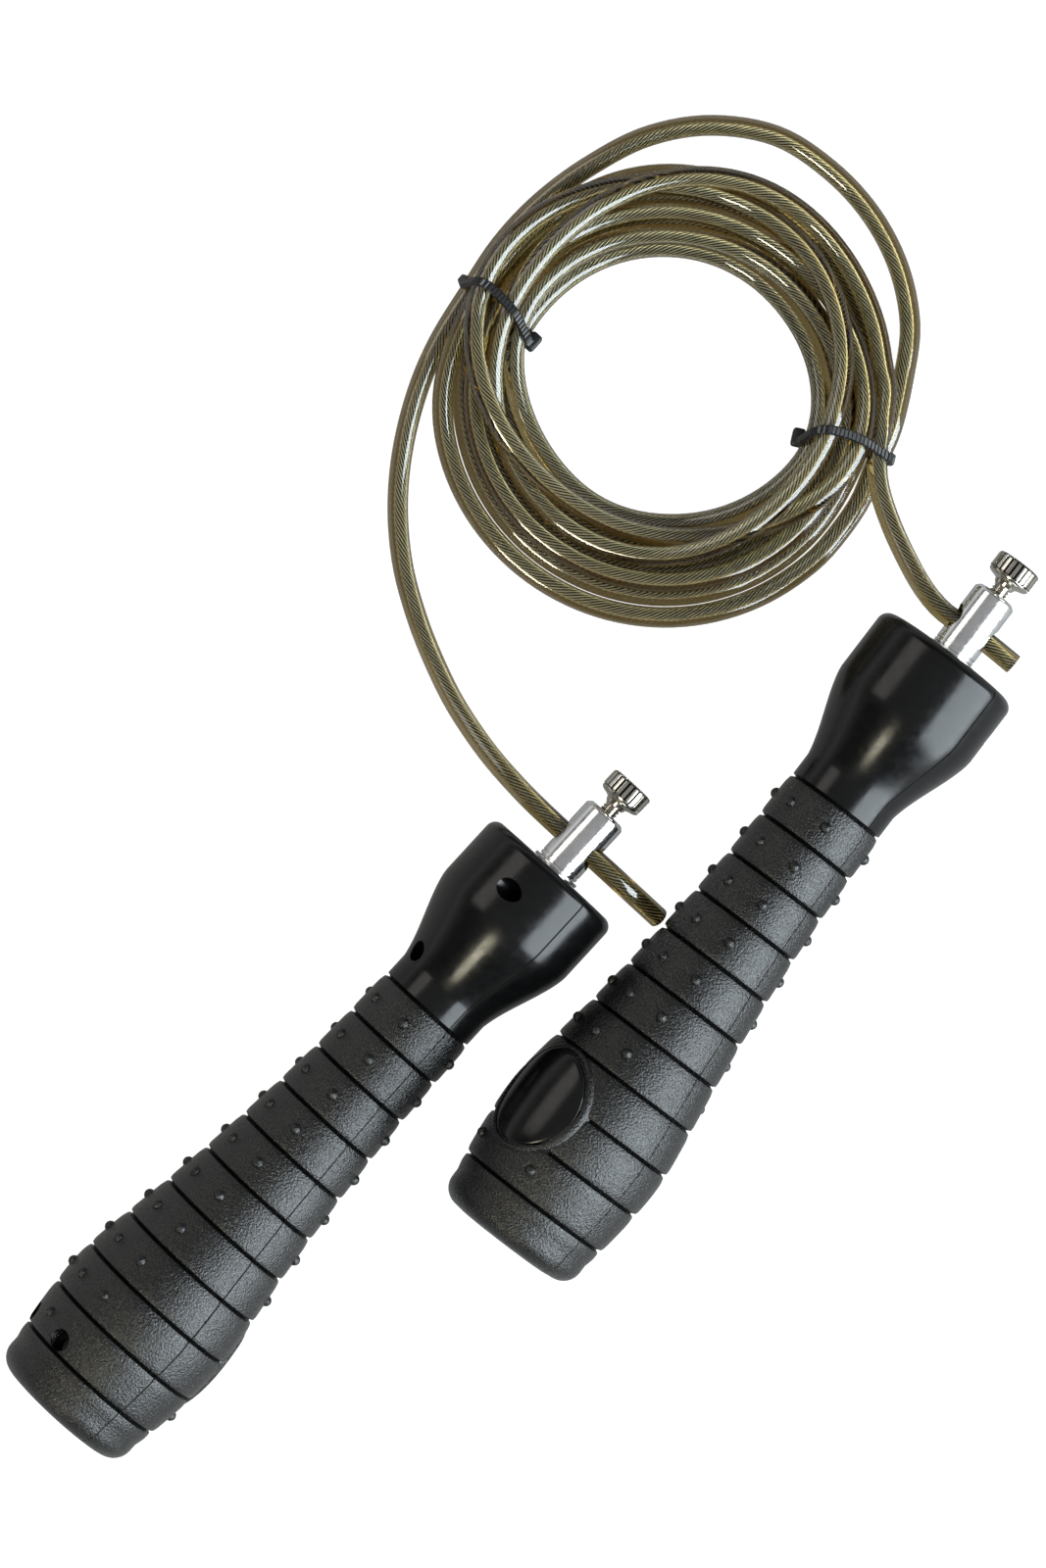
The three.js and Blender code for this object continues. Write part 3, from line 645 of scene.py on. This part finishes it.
def tie_plastic():
    made, tree, shader = material_named("tie_plastic")
    place = coordinates(tree)
    tone = ramp(tree, noise(tree, place, 300, 3), [(0.3, (0.004, 0.004, 0.0045)), (0.7, (0.01, 0.01, 0.011))])
    tree.links.new(tone, shader.inputs["Base Color"])
    rough = ramp(tree, noise(tree, place, 1400, 3), [(0.3, 0.25), (0.7, 0.45)])
    tree.links.new(rough, shader.inputs["Roughness"])
    bump(tree, shader, noise(tree, place, 2600, 2), 0.2, 0.00005)
    return made


MATERIALS = {
    "gloss": gloss_plastic(),
    "grip": soft_grip(),
    "aluminium": metal("aluminium", (0.72, 0.73, 0.74), (0.88, 0.88, 0.88), (0.1, 0.24), 900, 0.15),
    "nickel": metal("nickel", (0.5, 0.47, 0.41), (0.68, 0.65, 0.59), (0.1, 0.22), 700, 0.12),
    "black_steel": metal("black_steel", (0.004, 0.004, 0.004), (0.012, 0.012, 0.012), (0.4, 0.55), 800, 0.2),
    "steel": metal("steel", (0.5, 0.5, 0.5), (0.7, 0.7, 0.69), (0.18, 0.34), 800, 0.2),
    "wire": wire_rope(),
    # gap is the painted shade for the hollows between wires and at the flutes' feet.
    "gap": wire_gap_painted_shade(),
    "jacket": clear_jacket(),
    "tie": tie_plastic(),
}


def dress(piece, material, body, nodes=()):
    """Gives a piece its material and body, and hides the CAD nodes that it stands for."""
    piece.data.materials.clear()
    piece.data.materials.append(MATERIALS[material])
    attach(piece, body)
    if nodes:
        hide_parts(*nodes)
    return piece


# ---------- camera ----------

def add_camera():
    """The photo's view: from straight above the middle of the rope."""
    data = bpy.data.cameras.new("camera")
    data.lens = 153.4
    data.sensor_width = 36
    data.clip_end = 10
    camera = bpy.data.objects.new("camera", data)
    camera.location = (-0.00075, 0.0487, 1.52)
    bpy.context.scene.collection.objects.link(camera)
    bpy.context.scene.camera = camera


# ---------- cable and ties ----------

WIRES = 9
WIRE_LAY = 0.0128
WIRE_STEP = 0.0011
# One wire's share of the core's ring: its crown, its flank, the gap, and the next flank.
WIRE_SHARES = (1.12, 0.94, 0.62, 0.94)
JACKET_SIDES = 20
CORE_DRIFT = 0.00055
DRIFT_SPAN = 20
DRIFT_SOFTNESS = 5.0


def core_drift(line):
    """The wire lies towards the inside of each bend: how far it is off the cable's middle line."""
    window = np.hanning(2 * DRIFT_SPAN + 1)
    window /= window.sum()
    bend = np.gradient(np.gradient(line, axis=0), axis=0) / WIRE_STEP ** 2
    padded = np.pad(bend, ((DRIFT_SPAN, DRIFT_SPAN), (0, 0)), "edge")
    smooth = np.stack([np.convolve(padded[:, axis], window, "valid") for axis in range(3)], axis=1)
    size = np.linalg.norm(smooth, axis=1)[:, None]
    return CORE_DRIFT * smooth / (size + DRIFT_SOFTNESS)


def add_cable(line):
    """The clear jacket and, inside it, the laid wire core with painted shade on the faces in the gaps between
    its wires.
    """
    jacket = tube("cable_jacket", line, [CABLE_DIAMETER / 2] * JACKET_SIDES)
    fine = catmull_rom(line, WIRE_STEP)
    fine = fine + core_drift(fine)
    strand = [CORE_RADIUS * share for share in WIRE_SHARES]
    core = tube("cable_core", fine, strand * WIRES, lay=WIRE_LAY)
    dress(jacket, "jacket", "cable", ["cable_left_lead", "cable_coil", "cable_right_lead"])
    dress(core, "wire", "cable")
    # The second material is painted shade for the gaps between the wires.
    core.data.materials.append(MATERIALS["gap"])
    # The faces that run down into each gap between wires get the painted shade.
    for face in core.data.polygons[: (len(fine) - 1) * 4 * WIRES]:
        face.material_index = int(face.index % 4 in (1, 2))


STRAP_WIDTH = 0.0022
STRAP_THICKNESS = 0.001
STRAP_SLACK = 0.0002
STRAP_LEAN = 0.00364
STRAP_BOW = {"left": -0.0016, "right": 0.0022}
RIB_PITCH = 0.001
RIB_HEIGHT = 0.0003
TIE_SEARCH = 0.014
TIE_HEAD = (0.003, 0.0044, 0.0038)
TIE_HEAD_HEIGHT = 0.0043
TIE_HEAD_SQUARENESS = 0.4


def crossings(line, middle, heading):
    """Where the cable goes through a tie's plane: places across the tie, and heights."""
    turned = math.radians(heading)
    across = np.array([math.cos(turned), math.sin(turned)])
    along = np.array([-across[1], across[0]])
    offset = line[:, :2] - middle
    u, v = offset @ across, offset @ along
    found = []
    for k in np.nonzero((v[:-1] * v[1:] <= 0) & (np.abs(u[:-1]) < TIE_SEARCH))[0]:
        t = v[k] / (v[k] - v[k + 1])
        found.append((u[k] + t * (u[k + 1] - u[k]), line[k, 2] + t * (line[k + 1, 2] - line[k, 2])))
    return np.array(found)


def strap_loop(held):
    """The strap's middle line around the held strands, in its own plane."""
    reach = CABLE_DIAMETER / 2 + STRAP_THICKNESS / 2 + STRAP_SLACK
    points = []
    for angle in np.linspace(0, 2 * math.pi, 120, endpoint=False):
        out = np.array([math.cos(angle), math.sin(angle)])
        points.append(held[(held @ out).argmax()] + reach * out)
    points = np.array(points + points[:1])
    flat = evenly(np.column_stack([points, np.zeros(len(points))]), RIB_PITCH / 4)
    return flat[:-1, :2]


def squared(value):
    """A sine or cosine pushed outwards, so that a circle becomes a rounded square."""
    return math.copysign(abs(value) ** TIE_HEAD_SQUARENESS, value)


def add_tie_head(side, middle, across, along):
    """The tie's small locking block: a box with rounded corners and crowned ends."""
    points, sides = [], 32
    levels = [(-0.5, 0.72), (-0.46, 0.88), (-0.38, 0.98), (0.38, 0.98), (0.46, 0.88), (0.5, 0.72)]
    for high, share in levels:
        for k in range(sides):
            turn = 2 * math.pi * k / sides
            wide = squared(math.cos(turn)) * share * TIE_HEAD[0] / 2
            deep = squared(math.sin(turn)) * share * TIE_HEAD[1] / 2
            points.append(middle + across * wide + along * deep + Vector((0, 0, high * TIE_HEAD[2])))
    head = mesh_object(f"{side}_tie_head", points, capped(len(levels), sides), sharp=40)
    dress(head, "tie", "cable")


def strap_shift(side, loop, place):
    """How far the slack strap leans and bows along the coil at a place on its loop."""
    low, high = loop.min(axis=0), loop.max(axis=0)
    up = (place[1] - low[1]) / (high[1] - low[1])
    sideways = 2 * (place[0] - low[0]) / (high[0] - low[0]) - 1
    bow = STRAP_BOW[side]
    return math.copysign(STRAP_LEAN * (up - 0.5), bow) + bow * up * (1 - sideways ** 2)


def add_tie(side, line):
    """A ribbed strap drawn round the strands that it holds, and its head."""
    middle, heading = TIES[side]
    loop = strap_loop(crossings(line, middle, heading))
    ahead, behind = np.roll(loop, -1, axis=0), np.roll(loop, 1, axis=0)
    forward = (ahead - behind) / np.linalg.norm(ahead - behind, axis=1)[:, None]
    outward = np.column_stack([forward[:, 1], -forward[:, 0]])
    turned = math.radians(heading)
    across = Vector((math.cos(turned), math.sin(turned), 0))
    along = Vector((-across.y, across.x, 0))
    origin = Vector((*middle, 0))
    half = STRAP_WIDTH / 2
    section = [(-half, -0.5), (-half, 0.2), (-half * 0.7, 0.5), (half * 0.7, 0.5), (half, 0.2), (half, -0.5)]
    points = []
    for k, (place, out) in enumerate(zip(loop, outward)):
        rib = RIB_HEIGHT if k % 4 < 2 else 0.0
        shift = strap_shift(side, loop, place)
        for wide, high in section:
            lift = STRAP_THICKNESS * high + (rib if abs(wide) < half and high > 0 else 0)
            u, z = place + out * lift
            points.append(origin + across * u + Vector((0, 0, 1)) * max(z, 0.0001) + along * (wide + shift))
    faces = grid_faces(len(loop), len(section), closed_rows=True, closed_columns=True)
    strap = mesh_object(f"{side}_tie_strap", points, faces, sharp=30)
    dress(strap, "tie", "cable", [f"{side}_cable_tie"])
    edge = loop[:, 0].min()
    head_at = origin + across * (edge - 0.0003) + Vector((0, 0, TIE_HEAD_HEIGHT))
    head_at += along * strap_shift(side, loop, (edge, TIE_HEAD_HEIGHT))
    add_tie_head(side, head_at, across, along)


# ---------- handles ----------

def handle_places(side):
    """The handle's unrolled and rolled frames, from millimetres to the row frame."""
    head, heading, roll = HANDLES[side]
    place = Matrix.Translation(Vector(head) * MM)
    place = place @ Matrix.Rotation(math.radians(heading), 4, "Z")
    place = place @ Matrix.Rotation(math.radians(HANDLE_TILT), 4, "Y")
    place = place @ Matrix.Scale(MM, 4)
    return place, place @ Matrix.Rotation(math.radians(roll), 4, "X")


HALVES = (("front", True), ("rear", False))
SHELL_SCREWS = ("head_screw_1", "head_screw_2", "neck_screw")
GRIP_SCREWS = ("butt_screw_1", "butt_screw_2")


def carve_counterbores(half, names, rolled):
    """Cuts the wells of the named screws into a rear half."""
    cutters = []
    for name in names:
        at, offset = SCREWS[name]
        bottom = (-at, offset, COUNTERBORE_FLOOR)
        cutters.append(rod("cutter", (-at, offset, -30), bottom, COUNTERBORE_RADIUS, rolled))
    carve(half, cutters, 32)


def add_shells(side, rolled):
    """The two glossy halves of the handle's body."""
    inside = [(SHELL_WALL, SPINDLE_OPENING), (SHELL_WALL, BEARING_POCKET), (HOLLOW_START, BEARING_POCKET)]
    inside += [(HOLLOW_START, 7.2), (60, 7.2), (87, 8.8)]
    inside += [(109, 11.2), (131, 14.2), (143, 14.2), (155, 12.6), (157, 9.0)]
    outside = shell_outline()
    for half, front in HALVES:
        shell = half_turned(f"{side}_{half}_shell_fine", outside, inside, front, rolled)
        if not front:
            carve_counterbores(shell, SHELL_SCREWS, rolled)
        dress(shell, "gloss", f"{side}_handle", [f"{side}_{half}_shell"])


def in_oval(s, y, margin):
    """Whether a spot on the grip is within a margin of the badge's oval."""
    long = (s - BADGE_AT) / (BADGE_HALF_LENGTH + margin)
    wide = y / (BADGE_HALF_WIDTH + margin)
    return long * long + wide * wide < 1


DOT_ROWS = (-9.4, 0, 9.4)
DOT_LEVELS = ((0, 1.35), (0.35, 1.3), (0.75, 1.16), (1.1, 0.86), (1.32, 0.48), (1.4, 0.12))
DOT_SUNK = 0.35


def dot_points(s, y, sign):
    """A raised dot's rings on the grip, and its faces."""
    radius = groove_radius(s) + BAND_HEIGHT
    lean = math.asin(max(-0.98, min(0.98, y / radius)))
    out = Vector((0, math.sin(lean), sign * math.cos(lean)))
    aside = Vector((0, math.cos(lean), -sign * math.sin(lean)))
    base = Vector((-s, 0, 0)) + out * (radius - DOT_SUNK)
    sides, points = 16, []
    for rise, wide in DOT_LEVELS:
        for k in range(sides):
            turn = 2 * math.pi * k / sides
            along = Vector((1, 0, 0)) * wide * math.cos(turn)
            points.append(base + out * rise + along + aside * wide * math.sin(turn))
    return points, capped(len(DOT_LEVELS), sides)


def dot_groups(front):
    """The dots of one half: a row in the middle and one on each side, clear of the badge and the screws."""
    groups = []
    for band in range(BAND_COUNT - 1):
        s = BAND_START + (band + 0.5) * BAND_PITCH
        for y in DOT_ROWS:
            if front and in_oval(s, y, 2.6):
                continue
            if not front and abs(s - 151) < 5 and abs(abs(y) - 7.7) < 4:
                continue
            groups.append(dot_points(s, y, 1 if front else -1))
    return groups


def oval_rim():
    """The raised rim round the badge: a rounded section swept round the oval on the grip's curve."""
    section = [(0.0, -1.2), (0.0, 0.25), (0.25, 0.5), (0.65, 0.6), (1.05, 0.45), (1.35, 0.05), (1.45, -1.2)]
    sides, points = 96, []
    for k in range(sides):
        turn = 2 * math.pi * k / sides
        for wide, high in section:
            along = (BADGE_HALF_LENGTH + 0.35 + wide) * math.cos(turn)
            y = (BADGE_HALF_WIDTH + 0.35 + wide) * math.sin(turn)
            crown = groove_radius(BADGE_AT + along) + BAND_HEIGHT
            points.append(Vector((-BADGE_AT - along, y, math.sqrt(max(crown ** 2 - y ** 2, 0)) + high)))
    return points, grid_faces(sides, len(section), closed_rows=True, closed_columns=True)


def add_extras(name, groups, place):
    """Joins several groups of points and faces into one object."""
    points, faces = [], []
    for some, theirs in groups:
        start = len(points)
        points += some
        faces += [tuple(start + k for k in face) for face in theirs]
    return mesh_object(name, points, faces, place, 50)


def add_grips(side, rolled):
    """The two halves of the soft grip, each with its dots; the front one has the badge's rim."""
    inside = [(GRIP_START, 9.9), (60, 9.9), (87, 11.5), (109, 13.9), (131, 16.9), (143, 16.9)]
    inside += [(158, 15.0), (161.6, 0)]
    outside = grip_outline()
    for half, front in HALVES:
        grip = half_turned(f"{side}_{half}_grip_fine", outside, inside, front, rolled, seam=0.2)
        if not front:
            carve_counterbores(grip, GRIP_SCREWS, rolled)
        groups = dot_groups(front)
        if front:
            groups.append(oval_rim())
        dots = add_extras(f"{side}_{half}_grip_dots", groups, rolled)
        dress(grip, "grip", f"{side}_handle", [f"{side}_{half}_grip"])
        dress(dots, "grip", f"{side}_handle")


def add_badge(side, rolled):
    """The glossy oval, domed over the grip's curve: rings from its foot to its crown."""
    sides, points = 96, []
    crown = groove_radius(BADGE_AT) + BAND_HEIGHT
    levels = [(1.0, -1.6), (1.0, -0.15), (0.985, 0.05), (0.95, 0.2), (0.88, 0.38), (0.75, 0.6), (0.58, 0.8)]
    levels += [(0.38, 0.95), (0.18, 1.03), (0.05, 1.05)]
    for share, high in levels:
        for k in range(sides):
            turn = 2 * math.pi * k / sides
            along = BADGE_HALF_LENGTH * share * math.cos(turn)
            y = BADGE_HALF_WIDTH * share * math.sin(turn)
            points.append(Vector((-BADGE_AT - along, y, math.sqrt(crown ** 2 - y ** 2) + high)))
    badge = mesh_object(f"{side}_badge_dome", points, capped(len(levels), sides), rolled, 40)
    dress(badge, "gloss", f"{side}_handle", [f"{side}_badge"])


RECESS_FLOOR = 4.9


def recess_radius(x, radius, angle):
    """A cross recess in the middle of the screw's head."""
    if x >= RECESS_FLOOR and 0 < radius <= 1.0:
        return radius * (0.35 + 0.65 * abs(math.cos(2 * angle)) ** 3)
    return radius


def add_screws(side, rolled):
    """The five assembly screws, each from its recess over its head to its tip."""
    profile = [(RECESS_FLOOR, 0), (RECESS_FLOOR, 0.8), (5.9, 1.0), (5.8, 1.3), (5.5, 1.7), (5.0, 2.0)]
    profile += [(4.3, 2.1), (4.3, 1.15), (-6.6, 1.15), (-7, 0)]
    for name, (at, offset) in SCREWS.items():
        turned = rolled @ Matrix.Translation(Vector((-at, offset, 0)))
        turned = turned @ Matrix.Rotation(math.radians(90), 4, "Y")
        screw = lathe(f"{side}_{name}_fine", profile, turned, 64, recess_radius, sharp=30)
        dress(screw, "black_steel", f"{side}_handle", [f"{side}_{name}"])


def box_cutter(low, high, place):
    """A plain cutter box between two corners."""
    points = [(x, y, z) for x in (low[0], high[0]) for y in (low[1], high[1]) for z in (low[2], high[2])]
    faces = [(0, 1, 3, 2), (4, 6, 7, 5), (0, 4, 5, 1), (2, 3, 7, 6), (0, 2, 6, 4), (1, 5, 7, 3)]
    return mesh_object("cutter", points, faces, place)


POST_RADIUS = 5.25
SHANK_RADIUS = 4.85
CROSS_HOLE_AT = 8.1
CROSS_HOLE_RADIUS = 3.3
CROSS_HOLE_LEAN = {"left": -13, "right": 9}
CUTTER_REACH = 9
TAPPED_HOLE_RADIUS = 2.4


def add_post(side, place):
    """The spindle, with the cable's slanting hole and the thumb screw's, and its washer."""
    profile = [(17.6, 0), (17.6, 4.2), (17.5, 4.42), (16.9, 5.08), (16.7, 5.22), (16.5, POST_RADIUS)]
    profile += [(x, POST_RADIUS) for x in (15, 13, 11, 9, 7, 5, 3, 2.5)]
    profile += [(2.35, 5.1), (2.1, 5.1), (1.95, POST_RADIUS), (1.4, POST_RADIUS), (1.3, 5.1)]
    profile += [(1.3, SHANK_RADIUS), (-24.3, SHANK_RADIUS), (-24.3, 4.2), (-25.7, 4.2), (-25.7, SHANK_RADIUS)]
    profile += [(-27.2, SHANK_RADIUS), (-27.5, 4.5), (-27.5, 0)]
    post = lathe(f"{side}_spindle_fine", profile, place, 96, sharp=28)
    lean = CUTTER_REACH * math.tan(math.radians(CROSS_HOLE_LEAN[side]))
    enter, leave = (CROSS_HOLE_AT, -CUTTER_REACH, -lean), (CROSS_HOLE_AT, CUTTER_REACH, lean)
    cutters = [
        rod("cutter", enter, leave, CROSS_HOLE_RADIUS, place, 64),
        rod("cutter", (CROSS_HOLE_AT, 0, 0), (20, 0, 0), TAPPED_HOLE_RADIUS, place, 48),
    ]
    carve(post, cutters, 28)
    dress(post, "aluminium", "cable", [f"{side}_spindle"])
    ring = [(0.25, 5.15), (0.25, 5.9), (0.4, 6.05), (0.85, 6.05), (1.0, 5.9), (1.0, 5.15)]
    washer = ring_solid(f"{side}_washer_fine", ring, place)
    dress(washer, "steel", "cable", [f"{side}_spindle_washer"])


KNOB_RADIUS = 5.45
KNOB_FLUTES = 24
FLUTES_FROM, FLUTES_TO = 22.4, 26.2
FLUTE_DEPTH = 0.6
FLUTE_WIDTH = 0.2
# The radii between which the feet of the flutes get painted shade.
FLUTE_PAINTED_SHADE = (4.6, 5.3)
THREAD_RADIUS = 2.1
THREAD_FROM, THREAD_TO = 10.9, 19.75
THREAD_PITCH = 0.8
THREAD_DEPTH = 0.42
SLOT_FLOOR = 25.3
SLOT_HALF_WIDTH = 0.6


def thumb_radius(x, radius, angle):
    """Flutes on the knob and a helical thread on the shank."""
    if FLUTES_FROM <= x <= FLUTES_TO:
        away = abs((KNOB_FLUTES * angle / (2 * math.pi)) % 1 - 0.5)
        return radius - FLUTE_DEPTH * max(0.0, 1 - away / FLUTE_WIDTH)
    if THREAD_FROM <= x <= THREAD_TO:
        phase = (x / THREAD_PITCH - angle / (2 * math.pi)) % 1
        return radius - THREAD_DEPTH * abs(2 * phase - 1)
    return radius


def add_thumb_screw(side, place):
    """The clamp screw: thread, collar and knob, with a slot across its top and painted shade at the feet of
    its flutes.
    """
    profile = [(10.8, 0), (10.8, 1.5)]
    profile += [(x, THREAD_RADIUS) for x in np.arange(THREAD_FROM, 19.8, 0.1)]
    profile += [(19.8, THREAD_RADIUS), (19.95, 2.35), (20.3, 2.5), (20.75, 2.7), (21.0, 3.3), (21.25, 4.3)]
    profile += [(21.5, 4.85), (21.8, 5.15), (22.2, 5.25), (22.3, 5.05), (FLUTES_FROM, 5.1)]
    profile += [(x, KNOB_RADIUS) for x in (22.55, 23, 24, 25, 25.8)]
    profile += [(26.0, 5.4), (FLUTES_TO, 5.2), (26.38, 4.9), (26.5, 4.5), (26.5, 0)]
    screw = lathe(f"{side}_thumb_screw_fine", profile, place, 20 * KNOB_FLUTES, thumb_radius, sharp=32)
    slot = box_cutter((SLOT_FLOOR, -7, -SLOT_HALF_WIDTH), (28, 7, SLOT_HALF_WIDTH), place)
    carve(screw, [slot], 32)
    dress(screw, "nickel", f"{side}_thumb_screw", [f"{side}_thumb_screw"])
    # The second material is painted shade, for the faces at the foot of each flute.
    screw.data.materials.append(MATERIALS["gap"])
    home = place.inverted()
    for face in screw.data.polygons:
        spot = home @ face.center
        deep = FLUTE_PAINTED_SHADE[0] < math.hypot(spot.y, spot.z) < FLUTE_PAINTED_SHADE[1]
        if deep and FLUTES_FROM - 0.05 < spot.x < FLUTES_TO + 0.05:
            face.material_index = 1


def add_handle(side):
    place, rolled = handle_places(side)
    add_shells(side, rolled)
    add_grips(side, rolled)
    add_badge(side, rolled)
    add_screws(side, rolled)
    add_post(side, place)
    add_thumb_screw(side, place)


# ---------- carried-over CAD nodes ----------

def dress_frame():
    """Bearings and clips stay as packed, with a worked-steel material."""
    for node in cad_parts.values():
        if not node.hide_render:
            node.data.materials.clear()
            node.data.materials.append(MATERIALS["steel"])


# ---------- stage ----------

STAGE_AIM = (0.0, 0.05, 0.02)
# Seen through the cable's jacket the studio is a little brighter; in a gloss the floor is darker.
JACKET_BOOST = 0.2
GLOSSY_DIMMING = -0.82
FLOOR_HALF_SIZE = 3.0
FLOOR_DROP = 0.0002


def area_light(name, place, width, height, power, colour):
    """A rectangular lamp aimed at the middle of the object."""
    data = bpy.data.lights.new(name, "AREA")
    data.shape = "RECTANGLE"
    data.size, data.size_y = width, height
    data.energy, data.color = power, colour
    light = bpy.data.objects.new(name, data)
    light.location = place
    light.rotation_euler = (Vector(STAGE_AIM) - Vector(place)).to_track_quat("-Z", "Y").to_euler()
    bpy.context.scene.collection.objects.link(light)


def add_world():
    """A studio that is bright at the horizon, dark above it and grey overhead."""
    world = bpy.data.worlds.new("studio")
    world.use_nodes = True
    tree = world.node_tree
    split = tree.nodes.new("ShaderNodeSeparateXYZ")
    tree.links.new(tree.nodes.new("ShaderNodeTexCoord").outputs["Generated"], split.inputs["Vector"])
    levels = [(0.02, 0.85), (0.2, 0.4), (0.4, 0.1), (0.66, 0.1), (0.86, 0.3), (1.0, 0.34)]
    background = tree.nodes["Background"]
    tree.links.new(ramp(tree, split.outputs["Z"], levels), background.inputs["Color"])
    through = math_node(tree, "MINIMUM", light_path(tree, "Transmission Depth"), 1.0)
    strength = math_node(tree, "MULTIPLY_ADD", through, JACKET_BOOST, 1.0)
    tree.links.new(strength, background.inputs["Strength"])
    bpy.context.scene.world = world


def add_stage():
    """A pale shining floor, the studio and three lamps."""
    size = FLOOR_HALF_SIZE
    corners = [(-size, -size, 0), (size, -size, 0), (size, size, 0), (-size, size, 0)]
    floor = mesh_object("floor", corners, [(0, 1, 2, 3)])
    made, tree, shader = material_named("pale_floor")
    tone = ramp(tree, noise(tree, coordinates(tree), 3, 2), [(0.3, 0.17), (0.7, 0.19)])
    tree.links.new(tone, shader.inputs["Base Color"])
    shader.inputs["Roughness"].default_value = 0.9
    shader.inputs["Emission Color"].default_value = (1, 1, 1, 1)
    glow = math_node(tree, "MULTIPLY_ADD", light_path(tree, "Is Glossy Ray"), GLOSSY_DIMMING, 1.0)
    tree.links.new(glow, shader.inputs["Emission Strength"])
    floor.data.materials.append(made)
    floor.location.z = -FLOOR_DROP
    add_world()
    area_light("key", (1.25, -0.74, 0.82), 1.7, 1.6, 78, (0.84, 0.94, 1.0))
    area_light("fill", (-1.0, 1.0, 1.2), 1.2, 0.8, 5.4, (1.0, 0.965, 0.9))
    area_light("glint", (-0.72, -0.74, 1.22), 0.34, 0.5, 9, (1.0, 0.95, 0.72))
    bpy.context.scene.view_settings.view_transform = "Standard"


add_camera()
cable = cable_line()
add_cable(cable)
for tie_side in TIES:
    add_tie(tie_side, cable)
for handle_side in HANDLES:
    add_handle(handle_side)
dress_frame()
add_stage()
